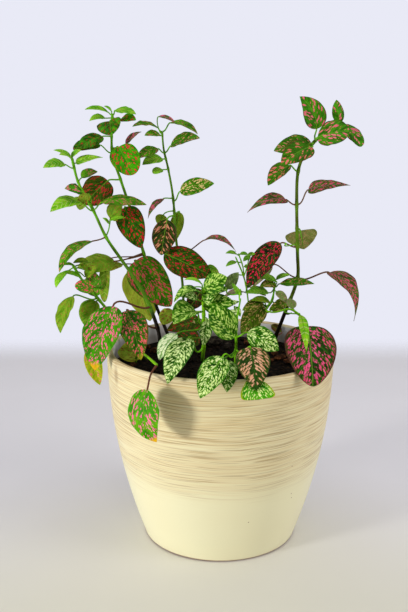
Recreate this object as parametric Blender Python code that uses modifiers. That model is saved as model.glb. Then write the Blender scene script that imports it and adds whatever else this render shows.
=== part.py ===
# Polka dot plant (Hypoestes) growing in a cream ceramic pot.
# Metres, +Z up. The origin is on the floor, under the centre of the pot's foot, and -Y is
# the side that the plant turns its best leaves to.

from math import cos, pi, radians, sin

import bmesh
import bpy
from mathutils import Vector, noise

MM = 0.001
GAP = 0.3 * MM

POT_HEIGHT = 130 * MM
POT_RIM_RADIUS = 75 * MM
POT_FOOT_RADIUS = 51 * MM
POT_WALL = 4 * MM
POT_FLOOR = 7 * MM
POT_FOOT_ROUND = 2 * MM
POT_OUTER_LEVELS = (0.8, 0.6, 0.42, 0.28, 0.17, 0.08)  # shares of the height, lip to foot
ROUND_SIDES = 48

SOIL_LEVEL = 117 * MM
WALL_RINGS = [level * MM for level in (17, 36, 60, 88)] + [SOIL_LEVEL]
SOIL_RINGS = (0, 0.2, 0.4, 0.6, 0.8)
SOIL_UNEVEN = 2.5 * MM
SOIL_SWELL = 22 * MM
SOIL_LUMP = 9 * MM
ROOTED_DEPTH = 16 * MM
SOCKET_CLEARANCE = 0.45 * MM
SOCKET_SIDES = 12
STEM_STEPS = 2

PETIOLE_RADIUS = 0.55 * MM
BLADE_THICKNESS = 0.6 * MM
BLADE_FOLD = radians(8)
BLADE_STATIONS = (0.05, 0.17, 0.34, 0.52, 0.7, 0.85, 0.95)
PETIOLE_STATIONS = (0, 0.35, 0.75)
PETIOLE_START = 0.35  # how far the petiole runs square to the stem, as a share of its reach
PETIOLE_END = 0.3  # and how far it runs in line with the blade
RING_POINTS = 8

# Leaf outlines as powers of the way along the blade: the half width grows with the first
# from the base and falls with the second to the tip.
OVATE = (0.55, 0.85)
HEART = (0.36, 0.75)
LANCE = (0.75, 1.0)
ROUND = (0.45, 0.5)

# Each stem: its radius at the soil and at the tip, and its route up from the soil, in mm.
STEMS = {
    "left_tall": (1.4, 0.8, [
        (-41, 18), (-42, 20, 134), (-50, 23, 156), (-59, 24, 172), (-68, 25, 185),
        (-77, 25, 199), (-85, 25, 217), (-94, 24, 235), (-98, 24, 252)]),
    "left_inner": (1.3, 0.8, [
        (-34, 48), (-41, 49, 135), (-47, 49, 152), (-53, 47, 183), (-62, 45, 216),
        (-68, 43, 236), (-73, 41, 254), (-72, 38, 280)]),
    "left_low": (1.2, 0.7, [
        (-50, 10), (-62, 14, 131), (-76, 16, 150), (-83, 16, 159), (-92, 14, 171),
        (-98, 10, 183)]),
    "middle": (1.3, 0.7, [
        (-24, 34), (-25, 38, 138), (-26, 42, 164), (-30, 44, 192), (-32, 44, 222),
        (-35, 42, 242), (-38, 41, 256), (-39, 40, 268)]),
    "right_tall": (1.5, 0.8, [
        (38, 47), (42, 41, 130), (47, 33, 148), (51, 27, 162), (53, 23, 173),
        (52, 20, 189), (50, 14, 223), (50, 11, 243), (54, 10, 255), (63, 9, 266),
        (74, 8, 273)]),
    "right_low": (1.0, 0.6, [
        (26, 44), (28, 38, 133), (32, 30, 147), (36, 24, 156), (37, 18, 169)]),
    "white_left": (1.0, 0.7, [
        (-12, 7), (-11, -10, 132), (-11, -20, 146), (-11, -30, 161), (-11, -38, 177)]),
    "white_right": (1.0, 0.7, [
        (10, -21), (9, -30, 128), (9, -38, 139), (9, -43, 148), (9, -47, 159),
        (11, -52, 174)]),
    "seedling": (0.6, 0.5, [
        (23, 38), (21, 31, 139), (19, 22, 158), (16, 15, 173), (10, 10, 188)]),
    "front_trailing": (1.1, 0.9, [
        (-57, 4), (-54, -9, 127), (-49, -24, 131), (-43, -44, 133), (-39, -57, 134)]),
}

# Each leaf: the height where it joins its stem, the base and the tip of its blade and its
# width, in mm, the way its upper side looks, how far the blade arches upwards and sways
# sideways, as shares of its length, and its outline.
LEAVES = {
    "left_tall": [
        (245, (-102, 18, 248), (-114, 8, 247), 9, (0, -1, 1), 0.1, 0, OVATE),
        (230, (-91, 16, 230), (-101, 10, 233), 10, (0, -0.8, 1), 0.1, 0, OVATE),
        (217, (-92, 19, 223), (-110, 4, 219), 14, (0.3, -0.3, 1), 0.16, 0, OVATE),
        (217, (-78, 20, 223), (-49, 22, 221), 13, (0, -0.5, 1), 0.08, 0, OVATE),
        (199, (-86, 18, 197), (-106, 2, 180), 14, (-0.5, -0.5, 1), 0.15, 0, OVATE),
        (151, (-70, -10, 159), (-80, -34, 124), 28, (-0.45, -1, 0.3), 0.06, 0, OVATE),
        (137, (-61, -6, 155), (-50, -38, 132), 20, (0.2, -1, 0.5), 0.08, 0, OVATE),
    ],
    "left_inner": [
        (276, (-73, 32, 275), (-71, 20, 267), 18, (-0.35, -0.5, 1), 0.05, 0, ROUND),
        (279, (-70, 38, 282), (-56, 35, 280), 11, (0, -0.4, 1), 0.06, 0, OVATE),
        (265, (-78, 36, 265), (-97, 24, 258), 13, (0, -1, 0.9), 0.06, 0, OVATE),
        (256, (-68, 34, 258), (-57, 24, 241), 20, (0, -1, 0.4), 0.1, 0, HEART),
        (236, (-76, 42, 235), (-92, 36, 221), 20, (0, -1, 0.4), 0.06, 0, HEART),
        (216, (-65, 38, 217), (-54, 33, 190), 19, (0, -1, 0.3), 0.06, 0, HEART),
        (184, (-73, 38, 181), (-97, 24, 181), 17, (0, -0.8, 1), 0.08, 0, OVATE),
        (178, (-59, 42, 179), (-34, 40, 147), 27, (0.1, -1, 0.1), 0.05, 0, HEART),
        (174, (-59, 54, 173), (-50, 60, 134), 23, (0, 1, 0.3), 0.05, 0, OVATE),
    ],
    "left_low": [
        (159, (-83, 20, 163), (-84, 24, 178), 16, (-0.3, -1, 0.3), 0.05, 0, OVATE),
        (159, (-98, 6, 162), (-106, -4, 140), 15, (-0.8, -0.8, 0.3), 0.1, 0, OVATE),
        (142, (-88, 8, 126), (-81, 1, 102), 12, (0, -1, 0.2), 0.05, 0, OVATE),
    ],
    "middle": [
        (267, (-42, 38, 271), (-58, 30, 272), 11, (0, -0.3, 1), 0.1, 0, OVATE),
        (254, (-42, 36, 257), (-55, 28, 251), 10, (0, -0.7, 1), 0.1, 0, OVATE),
        (254, (-33, 36, 259), (-14, 28, 265), 14, (0, -0.7, 1), 0.08, 0, OVATE),
        (221, (-27, 40, 228), (-4, 34, 234), 13, (0, -1, 0.7), 0.08, 0, OVATE),
        (211, (-39, 36, 209), (-39, 28, 185), 17, (-0.1, -1, 0.2), 0.05, 0, OVATE),
        (187, (-38, 34, 186), (-5, 30, 171), 21, (0.1, -1, 0.3), 0.05, 0, OVATE),
        (183, (-10, 38, 195), (11, 26, 189), 9, (0, -0.3, 1), 0.2, 0, LANCE),
    ],
    "right_tall": [
        (264, (65, 10, 273), (50, 8, 291), 15, (0.3, -1, 0.2), 0.08, -0.08, OVATE),
        (273, (78, 6, 272), (89, -2, 261), 11, (0.3, -0.7, 0.7), 0.1, 0, OVATE),
        (264, (63, 1, 265), (78, -6, 270), 17, (0, -0.9, 0.9), 0.08, 0, HEART),
        (262, (57, 2, 262), (33, -4, 258), 15, (0, -1, 0.6), 0.08, 0, OVATE),
        (244, (44, 8, 248), (30, 2, 236), 12, (-0.2, -0.8, 0.7), 0.08, 0, OVATE),
        (222, (57, 13, 230), (83, 4, 236), 12, (0, -0.5, 1), 0.06, 0, OVATE),
        (222, (42, 10, 226), (17, 0, 219), 14, (0, -0.4, 1), 0.12, 0, OVATE),
        (205, (54, 25, 203), (58, 36, 189), 22, (0, 1, 0.5), 0.05, 0, HEART),
        (193, (40, 16, 196), (18, 4, 168), 16, (-0.2, -1, 0.4), 0.06, 0.06, OVATE),
        (170, (75, 18, 176), (90, 6, 145), 15, (0.6, -0.7, 0.8), 0.19, 0, OVATE),
        (154, (55, -26, 149), (54, -66, 125), 30, (0, -1, 1), 0.07, 0, OVATE),
    ],
    "right_low": [
        (166, (40, 14, 169), (62, 6, 171), 9, (0, -0.6, 1), 0.04, 0, LANCE),
        (146, (36, 24, 149), (48, 20, 154), 13, (0, -0.5, 1), 0.08, 0, OVATE),
        (150, (29, 18, 151), (14, 2, 139), 15, (0, -1, 0.8), 0.06, 0, OVATE),
    ],
    "white_right": [
        (148, (16, -45, 151), (35, -48, 141), 16, (0.2, -1, 0.8), 0.08, 0, OVATE),
        (138, (17, -57, 145), (19, -88, 129), 20.5, (0, -1, 1), 0.08, 0, OVATE),
        (134, (17, -70, 132), (20, -93, 125.5), 19, (0, -0.3, 1), 0.05, 0, OVATE),
        (136, (0, -66, 142), (-13, -88, 124), 17, (-0.2, -1, 0.8), 0.06, 0, OVATE),
        (145, (6, -47, 149), (-8, -54, 165), 14, (0.2, -1, 0.5), 0.06, 0, OVATE),
    ],
    "white_left": [
        (132, (-21, -48, 148), (-32, -77, 130), 16, (-0.1, -0.6, 1), 0.08, 0, OVATE),
        (175, (-11, -41, 177), (3, -46, 187), 14, (0, -1, 0.5), 0.06, 0, OVATE),
    ],
    "front_trailing": [
        (134, (-44, -76, 125), (-39, -83, 95), 18.5, (0, -1, 0.2), 0.08, 0.12, OVATE),
    ],
}

COLOURS = {
    "pot": (0.86, 0.78, 0.58),
    "soil": (0.03, 0.022, 0.018),
    "stem": (0.16, 0.34, 0.06),
    "pink_spotted": (0.18, 0.36, 0.07),
    "white_splashed": (0.45, 0.62, 0.30),
}


def clear_scene():
    for obj in list(bpy.data.objects):
        bpy.data.objects.remove(obj, do_unlink=True)


def new_collection(name):
    collection = bpy.data.collections.new(name)
    bpy.context.scene.collection.children.link(collection)
    return collection


def material(name, colour, roughness):
    made = bpy.data.materials.new(name)
    made.use_nodes = True
    shader = made.node_tree.nodes["Principled BSDF"]
    shader.inputs["Base Color"].default_value = (*colour, 1)
    shader.inputs["Roughness"].default_value = roughness
    shader.inputs["Metallic"].default_value = 0
    return made


def add_node(name, data, collection, colour, roughness):
    obj = bpy.data.objects.new(name, data)
    data.materials.append(material(name, colour, roughness))
    collection.objects.link(obj)
    return obj


def pot_radius(height):
    # The wall swells quickly above the foot and stands almost upright at the rim.
    left = 1 - height / POT_HEIGHT
    return POT_RIM_RADIUS - (POT_RIM_RADIUS - POT_FOOT_RADIUS) * left**2


def pot_inner_radius(height):
    return pot_radius(height) - POT_WALL


def turned(name, profile, sides, collection, colour, roughness):
    mesh = bpy.data.meshes.new(name)
    points = [(x, 0, z) for x, z in profile]
    mesh.from_pydata(points, [(i, i + 1) for i in range(len(points) - 1)], [])
    obj = add_node(name, mesh, collection, colour, roughness)
    screw = obj.modifiers.new("turned", "SCREW")
    screw.axis = "Z"
    screw.steps = sides
    screw.render_steps = sides
    screw.use_merge_vertices = True
    screw.merge_threshold = 0.01 * MM
    return obj


def build_pot(collection):
    # Up the inside from the floor's centre, over the round lip, down the outside.
    inner_corner = WALL_RINGS[0] - POT_FLOOR
    corner_x = pot_inner_radius(WALL_RINGS[0]) - inner_corner
    profile = [(0, POT_FLOOR), (corner_x, POT_FLOOR)]
    for step in range(1, 4):
        angle = step * pi / 8
        profile.append((
            corner_x + inner_corner * sin(angle),
            POT_FLOOR + inner_corner * (1 - cos(angle)),
        ))
    lip = POT_WALL / 2
    profile += [(pot_inner_radius(h), h) for h in [*WALL_RINGS, POT_HEIGHT - lip]]
    lip_x = pot_radius(POT_HEIGHT - lip) - lip
    for step in range(1, 4):
        angle = pi - step * pi / 4
        profile.append((lip_x + lip * cos(angle), POT_HEIGHT - lip + lip * sin(angle)))
    outer = [share * POT_HEIGHT for share in POT_OUTER_LEVELS]
    outer = [POT_HEIGHT - lip, *outer, POT_FOOT_ROUND]
    profile += [(pot_radius(h), h) for h in outer]
    foot_x = pot_radius(POT_FOOT_ROUND) - POT_FOOT_ROUND
    profile += [
        (foot_x + POT_FOOT_ROUND * sin(pi / 4), POT_FOOT_ROUND * (1 - cos(pi / 4))),
        (foot_x, 0),
        (0, 0),
    ]
    return turned("pot", profile, ROUND_SIDES, collection, COLOURS["pot"], 0.3)


def soil_top(x, y):
    swell = noise.noise(Vector((x, y, 0)) / SOIL_SWELL)
    lumps = noise.noise(Vector((x, y, 1)) / SOIL_LUMP) / 2
    return SOIL_LEVEL + SOIL_UNEVEN * (swell + lumps)


def build_soil(collection, cutters):
    # A turned plug that fills the pot, with an uneven top and a socket round each stem.
    floor = POT_FLOOR + GAP
    side = [(pot_inner_radius(h) - GAP, h) for h in reversed(WALL_RINGS)]
    side.append((side[-1][0] - WALL_RINGS[0] + POT_FLOOR, floor))
    top = [(share * side[0][0], SOIL_LEVEL) for share in SOIL_RINGS]
    profile = top + side + [(0, floor)]
    bm = bmesh.new()
    verts = [bm.verts.new((x, 0, z)) for x, z in profile]
    edges = [bm.edges.new(pair) for pair in zip(verts, verts[1:])]
    bmesh.ops.spin(bm, geom=verts + edges, axis=(0, 0, 1), cent=(0, 0, 0),
                   steps=ROUND_SIDES, angle=2 * pi, use_merge=True)
    bmesh.ops.remove_doubles(bm, verts=bm.verts, dist=0.01 * MM)
    rim = side[0][0] - 0.1 * MM
    for vert in bm.verts:
        if vert.co.z > SOIL_LEVEL - 0.01 * MM and vert.co.xy.length < rim:
            vert.co.z = soil_top(vert.co.x, vert.co.y)
    bmesh.ops.recalc_face_normals(bm, faces=bm.faces)
    mesh = bpy.data.meshes.new("soil")
    bm.to_mesh(mesh)
    bm.free()
    soil = add_node("soil", mesh, collection, COLOURS["soil"], 0.95)
    for name in STEMS:
        foot, after = stem_points(name)[:2]
        lean = (after - foot).to_track_quat("Z", "Y").to_euler()
        bpy.ops.mesh.primitive_cylinder_add(
            vertices=SOCKET_SIDES, radius=stem_radius(name, 0) + SOCKET_CLEARANCE,
            depth=2 * ROOTED_DEPTH, location=foot, rotation=lean)
        cutter = bpy.context.object
        cutter.name = "socket_" + name
        cutter.hide_render = True
        cutter.display_type = "WIRE"
        for holder in list(cutter.users_collection):
            holder.objects.unlink(cutter)
        cutters.objects.link(cutter)
        cut = soil.modifiers.new(cutter.name, "BOOLEAN")
        cut.operation = "DIFFERENCE"
        cut.object = cutter
    return soil


def smooth_route(points, per_span):
    # A Catmull-Rom curve through the route's points.
    padded = [2 * points[0] - points[1], *points, 2 * points[-1] - points[-2]]
    smooth = []
    for a, b, c, d in zip(padded, padded[1:], padded[2:], padded[3:]):
        for step in range(per_span):
            t = step / per_span
            smooth.append(0.5 * (2 * b + (c - a) * t + (2 * a - 5 * b + 4 * c - d) * t**2
                                 + (3 * b - a - 3 * c + d) * t**3))
    return smooth + [points[-1]]


def stem_points(name):
    route = STEMS[name][2]
    x, y = route[0]
    above = [Vector((x, y, SOIL_LEVEL / MM)) * MM]
    above += [Vector(point) * MM for point in route[1:]]
    return smooth_route(above, STEM_STEPS)


def stem_radius(name, share):
    thick, thin, _ = STEMS[name]
    return (thick + (thin - thick) * share) * MM


def build_stem(name, collection):
    points = stem_points(name)
    down = (points[0] - points[1]).normalized()
    points[0] = points[0] + (ROOTED_DEPTH - GAP) * down
    curve = bpy.data.curves.new("stem_" + name, "CURVE")
    curve.dimensions = "3D"
    curve.bevel_depth = 1
    curve.bevel_resolution = 2
    curve.use_fill_caps = True
    curve.render_resolution_u = 0
    spline = curve.splines.new("POLY")
    spline.points.add(len(points) - 1)
    for index, point in enumerate(points):
        spline.points[index].co = (*point, 1)
        spline.points[index].radius = stem_radius(name, index / (len(points) - 1))
    return add_node("stem_" + name, curve, collection, COLOURS["stem"], 0.5)


def stem_at(name, height):
    # The stem's centre, direction and radius at a height.
    points = stem_points(name)
    spans = list(zip(points, points[1:]))
    crossing = [i for i, (low, high) in enumerate(spans) if low.z <= height <= high.z]
    index = crossing[-1] if crossing else len(spans) - 1
    low, high = spans[index]
    share = min(max((height - low.z) / (high.z - low.z), 0), 1)
    along = (index + 1 + share) / len(points)
    return low.lerp(high, share), (high - low).normalized(), stem_radius(name, along)


def half_width(share, outline):
    # 0 at the base, 1 at the widest place and 0 at the tip.
    rise, fall = outline
    widest = rise / (rise + fall)
    return share**rise * (1 - share)**fall / (widest**rise * (1 - widest)**fall)


def petiole_centres(joint, out, base, into_blade):
    # A cubic curve that leaves the stem squarely and runs on into the blade.
    reach = (base - joint).length
    first = joint + PETIOLE_START * reach * out
    second = base - PETIOLE_END * reach * into_blade
    centres = []
    for t in PETIOLE_STATIONS:
        u = 1 - t
        centres.append(u**3 * joint + 3 * u**2 * t * first + 3 * u * t**2 * second + t**3 * base)
    return centres


def build_leaf(name, stem, plan, collection):
    height, base, tip, width, face, bend, sway, outline = plan
    base, tip = Vector(base) * MM, Vector(tip) * MM
    along = tip - base
    normal = Vector(face)
    normal = (normal - normal.project(along)).normalized()
    side = along.cross(normal).normalized()
    bow = along.length * (bend * normal + sway * side)

    def centre(share):
        return base + along * share + bow * (4 * share * (1 - share))

    into_blade = (centre(0.02) - base).normalized()
    on_stem, axis, radius = stem_at(stem, height * MM)
    out = base - on_stem
    out = (out - out.project(axis)).normalized()
    joint = on_stem + out * (radius + GAP)

    centres = petiole_centres(joint, out, base, into_blade)
    tangents = [out] + [(b - a).normalized() for a, b in zip(centres, centres[2:] + [base])]
    frame_side = side
    rings = []
    for spot, tangent in reversed(list(zip(centres, tangents))):
        frame_side = (frame_side - frame_side.project(tangent)).normalized()
        frame_up = frame_side.cross(tangent)
        rings.insert(0, [
            spot + PETIOLE_RADIUS * (cos(angle) * frame_side + sin(angle) * frame_up)
            for angle in (2 * pi * step / RING_POINTS for step in range(RING_POINTS))
        ])
    half_thick = BLADE_THICKNESS / 2
    for share in BLADE_STATIONS:
        spot = centre(share)
        tangent = (centre(share + 0.01) - centre(share - 0.01)).normalized()
        across_way = (side - side.project(tangent)).normalized()
        up = across_way.cross(tangent)
        half = max(half_width(share, outline) * width / 2 * MM, PETIOLE_RADIUS)
        across = half * cos(BLADE_FOLD) * across_way
        lift = half * sin(BLADE_FOLD) * up
        mid = half_thick * up
        rings.append([
            spot + across + lift,
            spot + across / 2 + lift / 2 + mid,
            spot + mid,
            spot - across / 2 + lift / 2 + mid,
            spot - across + lift,
            spot - across / 2 + lift / 2 - mid,
            spot - mid,
            spot + across / 2 + lift / 2 - mid,
        ])

    bm = bmesh.new()
    loops = [[bm.verts.new(point) for point in ring] for ring in rings]
    end = bm.verts.new(tip)
    for i in range(RING_POINTS):
        after = (i + 1) % RING_POINTS
        for first, second in zip(loops, loops[1:]):
            bm.faces.new((first[i], first[after], second[after], second[i]))
        bm.faces.new((loops[-1][i], loops[-1][after], end))
    bm.faces.new(reversed(loops[0]))
    bmesh.ops.recalc_face_normals(bm, faces=bm.faces)
    mesh = bpy.data.meshes.new(name)
    bm.to_mesh(mesh)
    bm.free()
    mesh.shade_smooth()
    colour = COLOURS["white_splashed" if stem.startswith("white") else "pink_spotted"]
    return add_node(name, mesh, collection, colour, 0.45)


def main():
    clear_scene()
    plant = new_collection("polka_dot_plant")
    cutters = new_collection("cutters")
    build_pot(plant)
    build_soil(plant, cutters)
    for name in STEMS:
        build_stem(name, plant)
    for stem, leaves in LEAVES.items():
        for number, plan in enumerate(leaves, 1):
            build_leaf(f"leaf_{stem}_{number:02d}", stem, plan, plant)


main()
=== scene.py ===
# Polka dot plant in its cream ceramic pot: the finished looks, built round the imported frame.
# Lengths are in metres; the tables of stems and leaves are in millimetres, as they were drawn.
import random
from functools import partial
from math import cos, exp, pi, radians, sin

import bpy
import numpy as np
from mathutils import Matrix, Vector, noise


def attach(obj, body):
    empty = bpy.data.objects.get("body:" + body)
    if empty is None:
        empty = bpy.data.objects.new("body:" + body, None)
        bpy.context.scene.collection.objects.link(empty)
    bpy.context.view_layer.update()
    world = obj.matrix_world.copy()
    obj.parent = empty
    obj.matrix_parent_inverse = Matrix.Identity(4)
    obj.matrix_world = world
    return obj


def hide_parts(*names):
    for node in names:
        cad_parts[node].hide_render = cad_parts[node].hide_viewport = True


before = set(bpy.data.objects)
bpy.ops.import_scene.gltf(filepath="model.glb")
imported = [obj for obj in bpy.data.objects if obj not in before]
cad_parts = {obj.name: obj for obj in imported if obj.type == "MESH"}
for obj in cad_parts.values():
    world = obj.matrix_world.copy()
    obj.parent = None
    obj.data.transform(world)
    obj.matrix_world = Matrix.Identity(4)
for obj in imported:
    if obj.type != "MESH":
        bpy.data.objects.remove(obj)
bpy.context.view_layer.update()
mm = 0.001


def srgb(hexColour):
    parts = [int(hexColour[i:i + 2], 16) / 255 for i in (1, 3, 5)]
    return tuple(v / 12.92 if v <= 0.04045 else ((v + 0.055) / 1.055) ** 2.4 for v in parts) + (1,)


def setInputs(node, inputs):
    # An input takes a number or a colour, or a link from a node or one of its outputs. By
    # number, Map Range has its value, the two ends of that and what they become, and Mix
    # has its share at 0 and its two colours at 6 and 7.
    named = inputs.items() if isinstance(inputs, dict) else enumerate(inputs)
    for key, value in named:
        if isinstance(value, bpy.types.Node):
            value = next(out for out in value.outputs if out.enabled)
        if isinstance(value, bpy.types.NodeSocket):
            node.id_data.links.new(value, node.inputs[key])
        else:
            node.inputs[key].default_value = value


def addNode(tree, kind, inputs=(), **settings):
    node = tree.nodes.new("ShaderNode" + kind)
    for key, value in settings.items():
        setattr(node, key, value)
    setInputs(node, inputs)
    return node


def newMaterial(name):
    # the material, its shader, and addNode for its own tree
    material = bpy.data.materials.new(name)
    material.use_nodes = True
    tree = material.node_tree
    return material, tree.nodes["Principled BSDF"], partial(addNode, tree)


def deselectAll():
    if bpy.context.mode != "OBJECT":
        bpy.ops.object.mode_set(mode="OBJECT")
    bpy.ops.object.select_all(action="DESELECT")


def selectOnly(*pieces):
    deselectAll()
    for piece in pieces:
        piece.select_set(True)
    bpy.context.view_layer.objects.active = pieces[0]


def editAll():
    bpy.ops.object.mode_set(mode="EDIT")
    bpy.ops.mesh.select_all(action="SELECT")


def endEdit():
    # every face is turned outwards on the way out
    bpy.ops.mesh.select_all(action="SELECT")
    bpy.ops.mesh.normals_make_consistent(inside=False)
    bpy.ops.object.mode_set(mode="OBJECT")


def readPoints(mesh):
    flat = np.empty(len(mesh.vertices) * 3)
    mesh.vertices.foreach_get("co", flat)
    return flat.reshape(-1, 3)


def addAttribute(mesh, name, values):
    # one number or one vector for each point
    kind, field = ("FLOAT", "value") if np.ndim(values) == 1 else ("FLOAT_VECTOR", "vector")
    mesh.attributes.new(name, kind, "POINT").data.foreach_set(field, np.ravel(values))


def keepPiece(piece, slotName, *nodes):
    selectOnly(piece)
    bpy.ops.object.transform_apply()
    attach(piece, "root")
    if nodes:
        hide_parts(*nodes)


cameraPlace = {"spot": (-0.0108, -0.563, 0.2915), "down": radians(13.44), "lens": 51.76}
bpy.ops.object.camera_add(location=cameraPlace["spot"],
                          rotation=(radians(90) - cameraPlace["down"], 0, 0))
camera = bpy.context.object
camera.data.lens = cameraPlace["lens"]
camera.data.sensor_width = 36
camera.data.clip_start = 0.01
bpy.context.scene.camera = camera
print("camera placed")


# The three kinds of brushed mark are each a length and a spacing in mm, and a raggedness. In
# the glaze, what ends in Rise and the bare foot are heights in mm where a change starts and ends.
pot = {
    "height": 130 * mm, "rimRadius": 75 * mm, "footRadius": 51 * mm, "wall": 4 * mm,
    "floor": 7 * mm, "footRound": 2 * mm, "innerRound": 17 * mm, "sides": 160,
    "footTurns": (0.4, 0.8, 1.2, 1.57), "innerTurns": (1.15, 0.75, 0.35, 0),
    "lipTurns": (0, 0.4, 0.8, 1.2, 1.57, 1.95, 2.35, 2.75, 3.14),
    "innerLevels": (118, 110, 100, 85, 68, 50, 34, 24, 17),
    "bandFrom": 43 * mm, "bandFade": 16 * mm, "ringStep": 1.1 * mm, "brushDepth": 0.05 * mm,
    "grooveLength": 30 * mm, "groovePitch": 1.3 * mm, "wander": 55 * mm, "grooveSway": 2.5,
    "marks": {"strokes": (44, 0.48, 1.5), "bands": (60, 6.0, 1.0), "threads": (26, 0.4, 0.0)},
    "glaze": "#EDECCD", "glazeShade": "#E5DFBC", "brushPale": "#DDCDA4", "brushTan": "#C9AA6C",
    "line": "#94703C", "inside": "#E6E4EC", "clay": "#8E6650", "rimPatchColour": "#8A6A3C",
    # the darker inside colour, its rise and its share are painted shade just above the soil
    "shadedInside": "#6E6250", "speckPitch": 9 * mm, "ringSway": 5.0, "bandRag": 16.0,
    "bandRise": (50.0, 76.0), "goldenRise": (80.0, 118.0), "goldenShare": (0.12, 0.5),
    "strokeShare": (0.24, 0.9), "threadShare": 0.55, "shadedInsideRise": (138.0, 124.0),
    "shadedInsideShare": 0.8, "bareFoot": (1.5, 0.8), "rough": (0.34, 0.52),
    "rimPatchPlace": (-66 * mm, -35 * mm, 121 * mm), "rimPatchSize": (2.2 * mm, 5 * mm, 8 * mm),
}


def potRadius(height):
    left = 1 - height / pot["height"]
    return pot["rimRadius"] - (pot["rimRadius"] - pot["footRadius"]) * left ** 2


def extrudeRing(height, radius, last):
    # the selected ring goes on as a new one; last is the ring's (height, radius) so far
    bpy.ops.mesh.extrude_region_move(
        TRANSFORM_OT_translate={"value": (0, 0, height - last[0])})
    share = radius / last[1]
    bpy.ops.transform.resize(value=(share, share, 1), center_override=(0, 0, height))
    return height, radius


def turnedShell(name, profile, sides):
    # a closed turned body; the profile starts and ends on flat discs
    deselectAll()
    bpy.ops.mesh.primitive_circle_add(vertices=sides, radius=profile[0][1], fill_type="NGON",
                                      location=(0, 0, profile[0][0]))
    piece = bpy.context.object
    piece.name = name
    editAll()
    last = profile[0]
    for height, radius in profile[1:]:
        last = extrudeRing(height, radius, last)
    endEdit()
    bpy.ops.object.shade_smooth()
    return piece


def potProfile():
    foot = pot["footRound"]
    footX = potRadius(foot) - foot
    rings = [(0, footX)]
    rings += [(foot * (1 - cos(a)), footX + foot * sin(a)) for a in pot["footTurns"]]
    lip = pot["wall"] / 2
    top = pot["height"] - lip
    height = foot
    while height < top - pot["ringStep"]:
        height += pot["ringStep"]
        rings.append((height, potRadius(height)))
    lipX = potRadius(top) - lip
    rings += [(top + lip * sin(a), lipX + lip * cos(a)) for a in pot["lipTurns"]]
    rings += [(level * mm, potRadius(level * mm) - pot["wall"]) for level in pot["innerLevels"]]
    corner = pot["innerRound"] - pot["floor"]
    cornerX = potRadius(pot["innerRound"]) - pot["wall"] - corner
    return rings + [(pot["floor"] + corner * (1 - cos(a)), cornerX + corner * sin(a))
                    for a in pot["innerTurns"]]


def brushGroove(x, y, z):
    # how deep the brush has dragged at a spot: fine, broken, nearly level strokes
    sway = pot["grooveSway"] * noise.noise(Vector((x, y, z)) / pot["wander"])
    spot = Vector((x / pot["grooveLength"], y / pot["grooveLength"], z / pot["groovePitch"] + sway))
    fade = min(max((z - pot["bandFrom"]) / pot["bandFade"], 0), 1)
    return fade * noise.noise(spot)


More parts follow.
